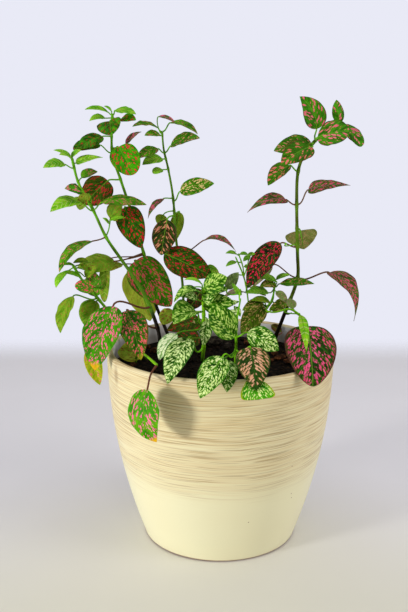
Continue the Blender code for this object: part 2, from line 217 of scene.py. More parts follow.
def glazedPot():
    material, shader, add = newMaterial("creamBrushedGlaze")
    # Stoneware dipped in cream glaze: the upper part was brushed with tan slip on the wheel,
    # which the eye reads as fine broken rings that thin out towards the plain foot.
    place = add("TexCoord").outputs["Object"]
    x, y, z = add("SeparateXYZ", [place]).outputs
    height = add("Math", [z, 1 / mm], operation="MULTIPLY")
    wander = add("TexNoise", {"Vector": place, "Scale": 1 / pot["wander"], "Detail": 1.0})
    sway = add("Math", [wander, pot["ringSway"]], operation="MULTIPLY")
    swayed = add("Math", [height, sway], operation="ADD")
    # broken level marks of three kinds
    marks = []
    for length, pitch, detail in pot["marks"].values():
        across = add("Math", [x, 1 / (length * mm)], operation="MULTIPLY")
        deep = add("Math", [y, 1 / (length * mm)], operation="MULTIPLY")
        up = add("Math", [swayed, 1 / pitch], operation="MULTIPLY")
        spot = add("CombineXYZ", [across, deep, up])
        marks.append(add("TexNoise", {"Vector": spot, "Scale": 1.0, "Detail": detail}))
    strokes, bands, threads = marks
    # the band starts raggedly above the plain foot, and grows more golden towards the rim
    rag = add("Math", [bands, pot["bandRag"]], operation="MULTIPLY")
    ragged = add("Math", [height, rag], operation="ADD")
    band = add("MapRange", [ragged, *pot["bandRise"]], interpolation_type="SMOOTHSTEP")
    golden = add("MapRange", [ragged, *pot["goldenRise"], *pot["goldenShare"]])
    slip = add("Mix", {0: golden, 6: srgb(pot["brushPale"]), 7: srgb(pot["brushTan"])},
               data_type="RGBA")
    strokeShare = add("MapRange", [strokes, 0.34, 0.66, *pot["strokeShare"]])
    slipOn = add("Math", [strokeShare, band], operation="MULTIPLY")
    threadShare = add("MapRange", [threads, 0.56, 0.7, 0.0, pot["threadShare"]])
    threadOn = add("Math", [threadShare, band], operation="MULTIPLY")
    # sparse specks of iron, about half a millimetre wide
    specks = add("TexVoronoi", {"Vector": place, "Scale": 1 / pot["speckPitch"]})
    speck = add("MapRange", [specks.outputs["Distance"], 0.05, 0.03])
    pick = add("SeparateColor", [specks.outputs["Color"]]).outputs[0]
    few = add("Math", [pick, 0.85], operation="GREATER_THAN")
    speckOn = add("Math", [speck, few], operation="MULTIPLY")
    # a brown patch under the rim on the left
    offRimPatch = add("VectorMath", [place, pot["rimPatchPlace"]], operation="SUBTRACT")
    narrow = add("VectorMath", [offRimPatch, [1 / side for side in pot["rimPatchSize"]]],
                 operation="MULTIPLY")
    far = add("VectorMath", [narrow], operation="LENGTH")
    rimPatch = add("MapRange", [far, 1.1, 0.3, 0.0, 0.55])
    # the inside is plain white glaze, with painted shade that darkens it just above the soil, down
    # inside the wall
    normal = add("NewGeometry").outputs["Normal"]
    outward = add("VectorMath", [place, normal], operation="DOT_PRODUCT")
    inside = add("MapRange", [outward, 0.0, -0.035])
    insideShade = add("MapRange", [ragged, *pot["shadedInsideRise"], 0.0, pot["shadedInsideShare"]])
    wall = add("Mix", {0: insideShade, 6: srgb(pot["inside"]), 7: srgb(pot["shadedInside"])},
               data_type="RGBA")
    # the foot has a thin line of bare clay, where the glaze was wiped off
    bare = add("MapRange", [height, *pot["bareFoot"]])
    colour = srgb(pot["glaze"])
    for share, over in ((wander, srgb(pot["glazeShade"])), (slipOn, slip),
                        (threadOn, srgb(pot["line"])), (speckOn, srgb(pot["clay"])),
                        (rimPatch, srgb(pot["rimPatchColour"])), (inside, wall), (bare, srgb(pot["clay"]))):
        colour = add("Mix", {0: share, 6: colour, 7: over}, data_type="RGBA")
    rough = add("MapRange", [slipOn, 0.0, 1.0, *pot["rough"]])
    relief = add("Math", [strokes, band], operation="MULTIPLY")
    bump = add("Bump", {"Height": relief, "Strength": 0.2, "Distance": 0.15 * mm})
    setInputs(shader, {"Base Color": colour, "IOR": 1.5, "Roughness": rough, "Normal": bump})
    return material


def makePot():
    piece = turnedShell("glazed_pot", potProfile(), pot["sides"])
    points = readPoints(piece.data)
    belowLip = pot["height"] - pot["wall"] / 2
    for point in points:
        reach = np.hypot(point[0], point[1])
        isOuter = reach > potRadius(point[2]) - 0.1 * mm
        if isOuter and point[2] < belowLip:
            drag = brushGroove(*point) * pot["brushDepth"]
            point[:2] *= 1 + (drag - pot["brushDepth"] * 0.5) / reach
    piece.data.vertices.foreach_set("co", points.ravel())
    piece.data.materials.append(glazedPot())
    keepPiece(piece, "pot_glaze", "pot")
    print("pot made")


makePot()


soil = {
    "level": 117 * mm, "clear": 0.3 * mm, "uneven": 2.3 * mm, "sides": 96, "rings": 34,
    "swells": ((22 * mm, 1), (9 * mm, 0.5)), "swellShare": 0.8,
    "grits": ((3 * mm, 0.28), (1.2 * mm, 0.16)),
    "footInset": 10.3 * mm, "sideLevels": (17, 34, 50, 68, 85, 100, 110), "ringDrop": 1e-6,
    "clump": 2.5 * mm, "fibreEdge": (0.48, 0.74), "relief": 0.6 * mm,
    "crumbs": 620, "crumbSizes": (0.5 * mm, 2.0 * mm), "dark": "#080605", "brown": "#33241A",
    "crumbDark": "#17110D", "crumbBrown": "#46331F", "crumbLean": 0.6, "crumbRise": 0.3,
    "crumbStretch": ((0.8, 1.6), (0.7, 1.2), (0.4, 0.8)), "crumbRough": (0.8, 1.2),
}


def soilTop(x, y):
    spot = Vector((x, y, 0))
    swell = sum(share * noise.noise(spot / size) for size, share in soil["swells"])
    grit = sum(share * noise.noise(spot / size) for size, share in soil["grits"])
    return soil["level"] + soil["uneven"] * (swell * soil["swellShare"] + grit)


def compostMaterial(name, dark, brown):
    material, shader, add = newMaterial(name)
    # Moist peat compost: nearly black, matt, with brown fibres that barely show.
    place = add("TexCoord").outputs["Object"]
    clumps = add("TexNoise", {"Vector": place, "Scale": 1 / soil["clump"], "Detail": 5.0})
    share = add("MapRange", [clumps, *soil["fibreEdge"]])
    mixed = add("Mix", {0: share, 6: srgb(dark), 7: srgb(brown)}, data_type="RGBA")
    bump = add("Bump", {"Height": clumps, "Strength": 0.6, "Distance": soil["relief"]})
    setInputs(shader, {"Base Color": mixed, "Roughness": 0.95, "Specular IOR Level": 0.08,
                       "Normal": bump})
    return material


def makeSoil():
    footX = potRadius(pot["innerRound"]) - pot["wall"] - soil["footInset"]
    profile = [(pot["floor"] + soil["clear"], footX)]
    for level in soil["sideLevels"]:
        profile.append((level * mm, potRadius(level * mm) - pot["wall"] - soil["clear"]))
    rim = potRadius(soil["level"]) - pot["wall"] - soil["clear"]
    for ring in range(soil["rings"]):
        profile.append((soil["level"] + ring * soil["ringDrop"], rim * (1 - ring / soil["rings"])))
    piece = turnedShell("compost", profile, soil["sides"])
    for vert in piece.data.vertices:
        if vert.co.z > soil["level"] - mm and vert.co.xy.length < rim - 0.1 * mm:
            vert.co.z = soilTop(vert.co.x, vert.co.y)
    piece.data.materials.append(compostMaterial("moistPeatCompost", soil["dark"], soil["brown"]))
    keepPiece(piece, "compost", "soil")


def makeCrumbs():
    # loose crumbs of peat and bark lie on the top and against the wall
    rng = random.Random(7)
    deselectAll()
    bpy.ops.mesh.primitive_ico_sphere_add(subdivisions=1, radius=1)
    seed = bpy.context.object
    seed.name = "compost_crumbs"
    shape = [vert.co.copy() for vert in seed.data.vertices]
    faces = [tuple(face.vertices) for face in seed.data.polygons]
    rim = potRadius(soil["level"]) - pot["wall"] - 2 * mm
    points, loops = [], []
    for _ in range(soil["crumbs"]):
        reach, turn = rim * rng.random() ** 0.5, rng.random() * 2 * pi
        x, y = reach * cos(turn), reach * sin(turn)
        size = rng.uniform(*soil["crumbSizes"]) * rng.uniform(0.5, 1)
        stretch = Vector([rng.uniform(*span) for span in soil["crumbStretch"]])
        spin = rng.random() * pi
        leaning = Vector((sin(spin) * soil["crumbLean"], cos(spin) * soil["crumbLean"], 1))
        lean = Vector((0, 0, 1)).rotation_difference(leaning)
        middle = Vector((x, y, soilTop(x, y) + size * soil["crumbRise"]))
        loops += [tuple(i + len(points) for i in face) for face in faces]
        for corner in shape:
            bit = Vector(corner[i] * stretch[i] * rng.uniform(*soil["crumbRough"]) * size
                         for i in range(3))
            bit.rotate(lean)
            points.append(bit + middle)
    seed.data.clear_geometry()
    seed.data.from_pydata(points, [], loops)
    seed.data.materials.append(
        compostMaterial("peatCrumbs", soil["crumbDark"], soil["crumbBrown"]))
    keepPiece(seed, "compost")


# Each bit of litter: its centre and its length, breadth and thickness in mm, turn and colours.
litter = [
    ((-4, 46, 120), (15, 11, 7), 20, "greyPeat"), ((6, 38, 119), (9, 6, 4), 70, "greyPeat"),
    ((-22, 32, 119), (10, 5, 3), 140, "greyPeat"), ((-45, 26, 119), (8, 6, 4), 30, "barkChip"),
    ((-50, 32, 120), (6, 4, 3), 100, "barkChip"), ((41, 10, 119), (11, 6, 3), 25, "barkChip"),
    ((46, 0, 119), (9, 5, 3), 160, "barkChip"), ((38, 20, 119), (8, 5, 3), 80, "barkChip"),
    ((34, 4, 118.5), (7, 4, 2), 50, "barkChip"), ((7, -18, 120), (13, 9, 2.5), 60, "barkChip"),
    ((-22, 4, 119), (7, 4, 3), 15, "greyPeat"), ((-6, -24, 119), (6, 4, 2), 120, "barkChip"),
    ((58, 36, 119), (8, 5, 3), 10, "greyPeat"), ((20, 48, 119), (9, 5, 3), 75, "barkChip"),
    ((-58, -8, 119), (7, 5, 3), 65, "barkChip"), ((22, -46, 119), (8, 5, 3), 110, "greyPeat"),
]
litterForm = {"shrunk": 0.92, "rough": 0.16, "roughStep": 5, "facet": 0.05, "facetStep": 3.1,
              "tipped": (8, -6)}
litterColours = {"greyPeat": ("#1E1A16", "#5C5246"), "barkChip": ("#2E1A0E", "#7A4A2C")}


def makeLitter():
    # bark chips, a lump of dry peat and fallen bits lie half sunk in the compost
    materials = {kind: compostMaterial(kind, *colours) for kind, colours in
                 litterColours.items()}
    for number, (spot, size, turn, kind) in enumerate(litter, 1):
        deselectAll()
        bpy.ops.mesh.primitive_ico_sphere_add(subdivisions=3, radius=0.5)
        bit = bpy.context.object
        bit.name = f"litter_{number:02d}"
        for vert in bit.data.vertices:
            facet = noise.cell(vert.co * litterForm["facetStep"] + Vector((number, 0, 0)))
            rough = noise.noise(vert.co * litterForm["roughStep"] + Vector((0, number, 0)))
            vert.co *= (litterForm["shrunk"] + litterForm["rough"] * rough
                        + litterForm["facet"] * facet)
        bit.scale = [side * mm for side in size]
        bit.rotation_euler = [radians(angle) for angle in (*litterForm["tipped"], turn)]
        bit.location = [side * mm for side in spot]
        bit.data.materials.append(materials[kind])
        keepPiece(bit, "compost")


makeSoil()
makeCrumbs()
makeLitter()
print("compost made")


stemRound = {"sides": 10, "nodeSwell": 0.28, "nodeLength": 1.5 * mm, "ridge": 0.05,
             "ridgeLength": 4 * mm, "freshLength": 5, "freshBelow": 2, "rootDepth": 6 * mm,
             "tipShare": 0.6}

# Each stem: its radius at the compost and at the tip, its bark, and its route in mm.
stems = {
    "left_tall": (1.4, 0.8, "halfWoody", [
        (-41, 18), (-42, 20, 134), (-50, 23, 156), (-59, 24, 172), (-68, 25, 185),
        (-77, 25, 199), (-85, 25, 217), (-94, 24, 235), (-98, 24, 252)]),
    "left_inner": (1.3, 0.75, "halfWoody", [
        (-34, 48), (-41, 49, 135), (-47, 49, 152), (-53, 47, 183), (-62, 45, 216),
        (-68, 43, 236), (-73, 41, 254), (-72, 38, 280)]),
    "left_low": (1.2, 0.7, "green", [
        (-50, 10), (-62, 14, 131), (-76, 16, 150), (-83, 16, 159), (-92, 14, 171),
        (-98, 10, 183)]),
    "middle": (1.05, 0.6, "slim", [
        (-24, 34), (-25, 38, 138), (-26, 42, 164), (-30, 44, 192), (-32, 44, 222),
        (-35, 42, 242), (-38, 41, 256), (-39, 40, 268)]),
    "right_tall": (1.4, 0.85, "darkFoot", [
        (38, 47), (42, 41, 130), (47, 33, 148), (51, 27, 162), (53, 23, 173),
        (52, 20, 189), (50, 14, 223), (50, 11, 243), (54, 10, 255), (63, 9, 266),
        (74, 8, 273)]),
    "right_low": (1.0, 0.6, "green", [
        (26, 44), (28, 38, 133), (32, 30, 147), (36, 24, 156), (37, 18, 169)]),
    "white_left": (1.2, 0.95, "bright", [
        (-12, 7), (-11, -10, 132), (-11, -20, 146), (-11, -30, 161), (-11, -38, 177)]),
    "white_right": (0.9, 0.5, "bright", [
        (10, -21), (9, -30, 128), (9, -38, 139), (9, -43, 148), (9, -47, 159),
        (11, -52, 174)]),
    "seedling": (0.6, 0.5, "bright", [
        (23, 38), (21, 31, 139), (19, 22, 158), (16, 15, 173), (10, 10, 188)]),
    "front_trailing": (0.85, 0.65, "bright", [
        (-57, 4), (-54, -9, 127), (-49, -24, 131), (-43, -44, 133), (-39, -57, 134)]),
}

# Thin side shoots that carry only small leaves; each starts on a stem.
shoots = {
    "left_tall_shoot": (0.5, 0.4, "green", [
        (-77, 25, 199), (-75, 26, 204), (-74, 28, 211)]),
    "seedling_fork": (0.45, 0.4, "bright", [
        (16, 15, 173), (15, 13, 181), (12, 11, 190)]),
    "seedling_side": (0.45, 0.35, "bright", [
        (16, 15, 174), (18, 13, 181), (19, 12, 188)]),
    "white_right_top": (0.5, 0.4, "bright", [
        (10.8, -51, 172), (10.4, -48, 174), (11.2, -44, 178)]),
    "right_runner": (0.6, 0.55, "bright", [
        (33.5, 27, 150.5), (31, 10, 151.5), (36, 1, 152.5), (45, -4, 155.8), (51, -11, 154)]),
    "right_twig": (0.6, 0.4, "darkFoot", [
        (46, 35, 143), (48, 32, 143.5), (50, 30, 145)]),
}


def smoothRoute(points, perSpan):
    # a Catmull-Rom curve through the route's points
    padded = [2 * points[0] - points[1], *points, 2 * points[-1] - points[-2]]
    smooth = []
    for a, b, c, d in zip(padded, padded[1:], padded[2:], padded[3:]):
        for step in range(perSpan):
            t = step / perSpan
            smooth.append(0.5 * (2 * b + (c - a) * t + (2 * a - 5 * b + 4 * c - d) * t ** 2
                                 + (3 * b - a - 3 * c + d) * t ** 3))
    return smooth + [points[-1]]


def stemRoute(name, perSpan=10):
    route = (stems.get(name) or shoots[name])[3]
    places = [Vector((*spot[:2], spot[2] if len(spot) > 2 else soil["level"] / mm)) * mm
              for spot in route]
    return smoothRoute(places, perSpan)


def stemRadius(name, share):
    thick, thin = (stems.get(name) or shoots[name])[:2]
    return (thick + (thin - thick) * share) * mm


def stemAt(name, height):
    # the stem's centre, direction and radius at a height
    points = stemRoute(name)
    spans = list(zip(points, points[1:]))
    crossing = [i for i, (low, high) in enumerate(spans) if low.z <= height <= high.z]
    index = crossing[-1] if crossing else len(spans) - 1
    low, high = spans[index]
    share = min(max((height - low.z) / (high.z - low.z), 0), 1)
    return (low.lerp(high, share), (high - low).normalized(),
            stemRadius(name, (index + share) / len(spans)))


barkLook = {"streak": 0.7 * mm, "streakStretch": 0.12, "patch": 9 * mm, "ragged": 7 * mm,
            "woodFade": 8 * mm, "freshFrom": 60 * mm, "freshTo": 130 * mm,
            "streakShare": (0.84, 1.1), "rough": 0.48}


def barkMaterial(name, foot, lower, upper, woodTop):
    material, shader, add = newMaterial(name)
    # Living bark: smooth and a little waxy, streaked along its length, woody and dark at the
    # foot of the old stems and green where it is young.
    place = add("TexCoord").outputs["Object"]
    z = add("SeparateXYZ", [place]).outputs["Z"]
    stretched = add("Mapping", {"Vector": place, "Scale": (1, 1, barkLook["streakStretch"])})
    streaks = add("TexNoise", {"Vector": stretched, "Scale": 1 / barkLook["streak"],
                               "Detail": 2.0})
    shift = add("TexNoise", {"Vector": place, "Scale": 1 / barkLook["patch"], "Detail": 2.0})
    lift = add("MapRange", [shift, 0.0, 1.0, -barkLook["ragged"], barkLook["ragged"]])
    height = add("Math", [z, lift], operation="ADD")
    young = add("MapRange", [height, woodTop - barkLook["woodFade"],
                             woodTop + barkLook["woodFade"]])
    top = add("MapRange", [height, woodTop + barkLook["freshFrom"],
                           woodTop + barkLook["freshTo"]])
    joint = add("Attribute", attribute_name="stemJoint").outputs["Fac"]
    fresh = add("Math", [top, joint], operation="MAXIMUM")
    green = add("Mix", {0: fresh, 6: srgb(lower), 7: srgb(upper)}, data_type="RGBA")
    bark = add("Mix", {0: young, 6: srgb(foot), 7: green}, data_type="RGBA")
    dim = add("MapRange", [streaks, 0.35, 0.65, *barkLook["streakShare"]])
    shaded = add("VectorMath", {0: bark, "Scale": dim}, operation="SCALE")
    bump = add("Bump", {"Height": streaks, "Strength": 0.15, "Distance": 0.1 * mm})
    setInputs(shader, {"Base Color": shaded, "Roughness": barkLook["rough"],
                       "Specular IOR Level": 0.12, "Normal": bump})
    return material


barks = {
    "darkFoot": barkMaterial("woodyStem", "#17100C", "#48560C", "#5A8212", 150 * mm),
    "halfWoody": barkMaterial("halfWoodyStem", "#17100C", "#4E7A0C", "#66B010", 150 * mm),
    "green": barkMaterial("greenStem", "#33421A", "#4E8A0C", "#6CB41A", 128 * mm),
    "slim": barkMaterial("slimStem", "#2A3012", "#44660A", "#568A10", 128 * mm),
    "bright": barkMaterial("youngStem", "#4E8A0C", "#68AE10", "#80C018", 118 * mm),
    "stalkGreen": barkMaterial("greenStalk", "#5E9A14", "#5E9E16", "#6CB01C", 90 * mm),
    "stalkBright": barkMaterial("brightStalk", "#74BC16", "#7BC81C", "#86D028", 90 * mm),
    "stalkBrown": barkMaterial("purpleBrownStalk", "#5C3328", "#6B4030", "#70502C", 90 * mm),
}


def tubeAlong(name, points, radii, sides):
    # a curve with a round bevel, made a mesh with its ends closed
    deselectAll()
    bpy.ops.curve.primitive_bezier_curve_add()
    curve = bpy.context.object.data
    curve.splines.clear()
    spline = curve.splines.new("POLY")
    spline.points.add(len(points) - 1)
    for spot, point, radius in zip(spline.points, points, radii):
        spot.co = (*point, 1)
        spot.radius = radius
    curve.bevel_depth = 1
    curve.bevel_resolution = sides // 2 - 2
    curve.use_fill_caps = True
    bpy.ops.object.convert(target="MESH")
    piece = bpy.context.object
    piece.name = name
    editAll()
    bpy.ops.mesh.remove_doubles(threshold=0.01 * mm)
    endEdit()
    bpy.ops.object.shade_smooth()
    return piece


def makeStem(name, joints):
    spans = stemRoute(name, 14)
    if name in stems:  # it goes on down into the compost
        down = (spans[0] - spans[1]).normalized()
        spans.insert(0, spans[0] + stemRound["rootDepth"] * down)
    radii = []
    for index, point in enumerate(spans):
        swell = sum(exp(-((point.z - joint * mm) / stemRound["nodeLength"]) ** 2)
                    for joint in set(joints))
        lumps = noise.noise(point / stemRound["ridgeLength"]) * stemRound["ridge"]
        radii.append(stemRadius(name, index / (len(spans) - 1))
                     * (1 + stemRound["nodeSwell"] * min(swell, 1) + lumps))
    radii[-1] *= stemRound["tipShare"]
    piece = tubeAlong("grown_" + name, spans, radii, stemRound["sides"])
    # young green shows for a few millimetres round each leaf's joint
    fresh = []
    for vert in piece.data.vertices:
        rises = [vert.co.z / mm - joint + stemRound["freshBelow"] for joint in joints]
        fresh.append(max((exp(-(rise / stemRound["freshLength"]) ** 2) for rise in rises),
                         default=0))
    addAttribute(piece.data, "stemJoint", fresh)
    piece.data.materials.append(barks[(stems.get(name) or shoots[name])[2]])
    return piece


# How every leaf is modelled. The ruffles run along its edge: each has a strength, its waves
# along the blade, and how far the leaf's seed and the side of the leaf shift it.
leafMake = {"thickness": 0.34 * mm, "leastHalf": 0.12 * mm, "curlFrom": 0.6, "step": 0.004,
            "foldRound": 0.004, "foldSunk": 0.063, "foldRise": 1.15,
            "ruffles": ((1, 15, 9, 1.3), (0.6, 27, 23, 1)), "ruffleRise": 0.6,
            "pillowStart": 5, "pillowRound": 0.7,
            "veinPairs": 6.5, "veinSlope": 0.84, "veinCurve": 0.035}
# Its stalk: thicker on a broad leaf, swollen at the stem, and tapered under the blade, where
# it goes on as the midrib.
stalkMake = {"sides": 8, "rings": 12, "ribRings": 14, "ribTo": 0.92, "least": 0.55,
             "growth": 0.45, "broadHalf": 13 * mm, "mostBroad": 1.25, "intoStem": 0.5,
             "leave": 0.35, "arrive": 0.3, "swell": 0.45, "swellFade": 9, "ribTaper": 0.8,
             "ribCurve": 0.8, "ribSunk": 0.55}
# A blade's form where it is given no other; bend is how far it arches upwards and sway
# sideways, as shares of its length. The stalk is its thickness in mm.
usualForm = {"cup": 0.10, "pillow": 0.011, "wave": 0.05, "stalk": 0.62, "sway": 0}
# The two sizes of leaf: the cells across and along a blade, and what is drawn for each leaf.
largeLeaf = {"name": "foliage", "cells": (24, 40), "whiteStalk": "stalkBright",
             "drawn": {"fold": (7, 15), "curl": (0, 0.05), "wave": (0.03, 0.08)}}
smallLeaf = {"name": "small", "cells": (12, 18), "whiteStalk": "stalkGreen",
             "drawn": {"fold": (10, 20), "curl": (0, 0.08)}}


def makeMasterLeaf(acrossCells, alongCells):
    # The blade is a closed thin box over a grid: x and y run -1 to 1, z is 0 on the upper side
    # and -1 below. The stalk is a tube beside it, whose rings are numbered by z from 10.
    deselectAll()
    bpy.ops.mesh.primitive_grid_add(x_subdivisions=acrossCells, y_subdivisions=alongCells,
                                    size=2)
    blade = bpy.context.object
    editAll()
    bpy.ops.mesh.extrude_region_move(TRANSFORM_OT_translate={"value": (0, 0, -1)})
    endEdit()
    deselectAll()
    bpy.ops.mesh.primitive_circle_add(vertices=stalkMake["sides"], radius=1,
                                      fill_type="NGON", location=(0, 0, 10))
    stalk = bpy.context.object
    editAll()
    for _ in range(stalkMake["rings"] + stalkMake["ribRings"]):
        bpy.ops.mesh.extrude_region_move(TRANSFORM_OT_translate={"value": (0, 0, 1)})
    endEdit()
    selectOnly(blade, stalk)
    bpy.ops.object.join()
    bpy.ops.object.transform_apply()
    bpy.ops.object.shade_smooth_by_angle(angle=radians(60))
    mesh = blade.data
    for face in mesh.polygons:
        face.material_index = int(all(mesh.vertices[i].co.z > 9 for i in face.vertices))
    return blade


def halfWidth(share, outline):
    rise, fall = outline
    widest = rise / (rise + fall)
    top = widest ** rise * (1 - widest) ** fall
    share = np.clip(share, 0, 1)
    return share ** rise * (1 - share) ** fall / top


def unit(vectors):
    return vectors / np.linalg.norm(vectors, axis=-1, keepdims=True)


class BladeForm:
    # the smooth middle surface of one leaf's blade, and its vein pattern

    def __init__(self, leaf):
        self.leaf = leaf
        self.base = np.array(leaf["base"]) * mm
        self.along = np.array(leaf["tip"]) * mm - self.base
        self.length = np.linalg.norm(self.along)
        normal = np.array(leaf["face"], float)
        normal -= self.along * (normal @ self.along) / self.length ** 2
        self.normal = unit(normal)
        self.side = unit(np.cross(self.along, self.normal))
        self.bow = self.length * (leaf["bend"] * self.normal + leaf["sway"] * self.side)
        self.half = leaf["width"] * mm / 2

    def spine(self, share):
        share = np.asarray(share)[..., None]
        late = np.clip((share - leafMake["curlFrom"]) / 0.4, 0, 1)
        curl = late ** 2 * self.leaf["curl"] * self.length
        return (self.base + self.along * share + self.bow * 4 * share * (1 - share)
                - self.normal * curl)

    def width(self, share):
        return halfWidth(share, self.leaf["outline"])

    def veins(self, across, share):
        # mm along the blade where the vein through a spot leaves the midrib, and the phase
        out = np.abs(across) * np.maximum(self.width(share), 0.02) * self.half / mm
        start = share * self.length / mm - leafMake["veinSlope"] * out \
            - leafMake["veinCurve"] * out ** 2
        phase = start / (self.length / mm) * leafMake["veinPairs"]
        return start, out * np.sign(across), phase

    def surface(self, across, share):
        leaf = self.leaf
        tangent = unit(self.spine(share + 0.01) - self.spine(share - 0.01))
        level = unit(self.side - tangent * (tangent @ self.side)[..., None])
        up = np.cross(level, tangent)
        half = np.maximum(self.width(share) * self.half, leafMake["leastHalf"])
        edge = np.abs(across)
        fold = radians(leaf["fold"])
        phase = self.veins(across, share)[2]
        soft = np.sqrt(edge ** 2 + leafMake["foldRound"]) - leafMake["foldSunk"]
        ruffle = sum(
            strength * np.sin(share * waves + leaf["seed"] * shift + np.sign(across) * apart)
            for strength, waves, shift, apart in leafMake["ruffles"])
        lift = half * (soft * sin(fold) * leafMake["foldRise"] - leaf["cup"] * edge ** 2)
        lift += leaf["wave"] * half * edge ** 3 * ruffle * leafMake["ruffleRise"]
        body = np.clip(half / self.half, 0, 1)
        lift += leaf["pillow"] * self.length * body * (1 - edge ** 4) \
            * np.clip(edge * leafMake["pillowStart"], 0, 1) \
            * (np.abs(np.sin(pi * phase)) ** leafMake["pillowRound"] - 0.5)
        reach = half * across * cos(fold)
        return self.spine(share) + level * reach[..., None] + up * lift[..., None]

    def normals(self, across, share):
        step = leafMake["step"]
        over = self.surface(across + step, share) - self.surface(across - step, share)
        on = self.surface(across, np.minimum(share + step, 1)) \
            - self.surface(across, np.maximum(share - step, 0))
        return unit(np.cross(over, on))


def stalkRings(form, stem):
    # centres and radii from the stem to the blade, and on under the blade as its midrib
    broad = min(form.half / stalkMake["broadHalf"], stalkMake["mostBroad"])
    thick = form.leaf["stalk"] * mm * (stalkMake["least"] + stalkMake["growth"] * broad)
    onStem, axis, stemThick = stemAt(stem, form.leaf["joint"] * mm)
    base = Vector(form.base)
    out = base - onStem
    out = (out - out.project(axis)).normalized()
    start = onStem + out * stemThick * stalkMake["intoStem"]
    into = Vector(form.spine(0.03) - form.spine(0.0)).normalized()
    reach = (base - start).length
    first = start + stalkMake["leave"] * reach * out
    second = base - stalkMake["arrive"] * reach * into
    centres, radii = [], []
    for ring in range(stalkMake["rings"]):
        t = ring / stalkMake["rings"]
        u = 1 - t
        centres.append(u ** 3 * start + 3 * u ** 2 * t * first + 3 * u * t ** 2 * second
                       + t ** 3 * base)
        radii.append(thick * (1 + stalkMake["swell"] * exp(-t * stalkMake["swellFade"])))
    for ring in range(stalkMake["ribRings"] + 1):
        share = stalkMake["ribTo"] * ring / stalkMake["ribRings"]
        thinned = stalkMake["ribTaper"] * (share / stalkMake["ribTo"]) ** stalkMake["ribCurve"]
        radius = thick * (1 - thinned)
        spot = np.array([max(share, 0.001)])
        middle = form.surface(np.zeros(1), spot)[0]
        below = form.normals(np.zeros(1), spot)[0] * (stalkMake["ribSunk"] * radius)
        centres.append(Vector(middle - below))
        radii.append(radius)
    return centres, radii


def shapeLeaf(master, name, stem, leaf):
    mesh = master.data.copy()
    piece = bpy.data.objects.new(name, mesh)
    bpy.context.collection.objects.link(piece)
    grid = readPoints(mesh)
    isStalk = grid[:, 2] > 9
    form = BladeForm(leaf)

    across = grid[:, 0].copy()
    share = 0.5 - 0.5 * np.cos(pi * np.clip((grid[:, 1] + 1) / 2, 0, 1))
    side = np.where(grid[:, 2] > -0.5, 1.0, -1.0)
    blade = ~isStalk
    thick = leafMake["thickness"] * (1 - 0.5 * np.abs(across[blade]) ** 3)
    placed = np.empty_like(grid)
    placed[blade] = form.surface(across[blade], share[blade]) \
        + form.normals(across[blade], share[blade]) * (side[blade] * thick / 2)[:, None]

    centres, radii = stalkRings(form, stem)
    ends = [2 * centres[0] - centres[1], *centres, 2 * centres[-1] - centres[-2]]
    level = Vector(form.side)
    frames = []
    for before, after in reversed(list(zip(ends, ends[2:]))):
        tangent = (after - before).normalized()
        level = (level - level.project(tangent)).normalized()
        frames.insert(0, (level.copy(), tangent.cross(level)))
    rings = np.rint(grid[:, 2] - 10).astype(int)
    for index in np.flatnonzero(isStalk):
        ring = rings[index]
        level, up = frames[ring]
        placed[index] = centres[ring] + radii[ring] * (level * grid[index, 0] + up * grid[index, 1])
    mesh.vertices.foreach_set("co", placed.ravel())

    across[isStalk] = 0
    share[isStalk] = np.clip((rings[isStalk] - stalkMake["rings"])
                             / stalkMake["ribRings"], 0, 1)
    start, out, phase = form.veins(across, share)
    addAttribute(mesh, "leafPlace", np.stack((across, share, phase), -1))
    addAttribute(mesh, "leafVeins", np.stack((start, out, side), -1))
    addAttribute(mesh, "leafSeed", np.full(len(grid), leaf["seed"], np.float32))
    return piece


# A leaf's blade starts from this finish. Sizes are in millimetres on the leaf: pitch is the
# distance between spots, stretch how much longer they are along the side veins, cover the
# share of the pitch that a spot takes, and ribClear the bare strip beside the midrib. Each
# pair of numbers is where a mark starts and where it is full.
leafFinish = {
    "vein": "#5E9A1E", "veinShare": 0.25, "rib": "#6E9A28", "ribShare": 0.6,
    "fringe": "#6A3A12", "fringeShare": 0.55, "ragged": 0.6, "spread": 0.2, "patch": 0.1,
    "soft": 0.05, "keepVeins": 0.0, "ribClear": 0.35, "under": "#7C9A34", "underShare": 0.55,
    "burnt": None, "burntEdge": (0.90, 0.965), "burntFray": 0.09, "rough": 0.46,
    "patchScale": 0.22, "tissueScale": 1.1, "raggedScale": 1.5, "veinEdge": (0.13, 0.03),
    "ribEdge": (0.62, 0.22), "ribTaper": 2.6, "rimBare": (0.98, 0.88), "rimBand": (0.86, 1.0),
}
finishColumns = ("dark", "bright", "spotA", "spotB", "edge", "edgeShare", "cover", "pitch",
                 "stretch")
# The white leaves' blotches: big, ragged, and cut through by green veins.
whiteBlotch = {"spread": 0.16, "patch": 0.16, "keepVeins": 0.5, "ribClear": 0.2,
               "ragged": 1.1, "fringeShare": 0.9}

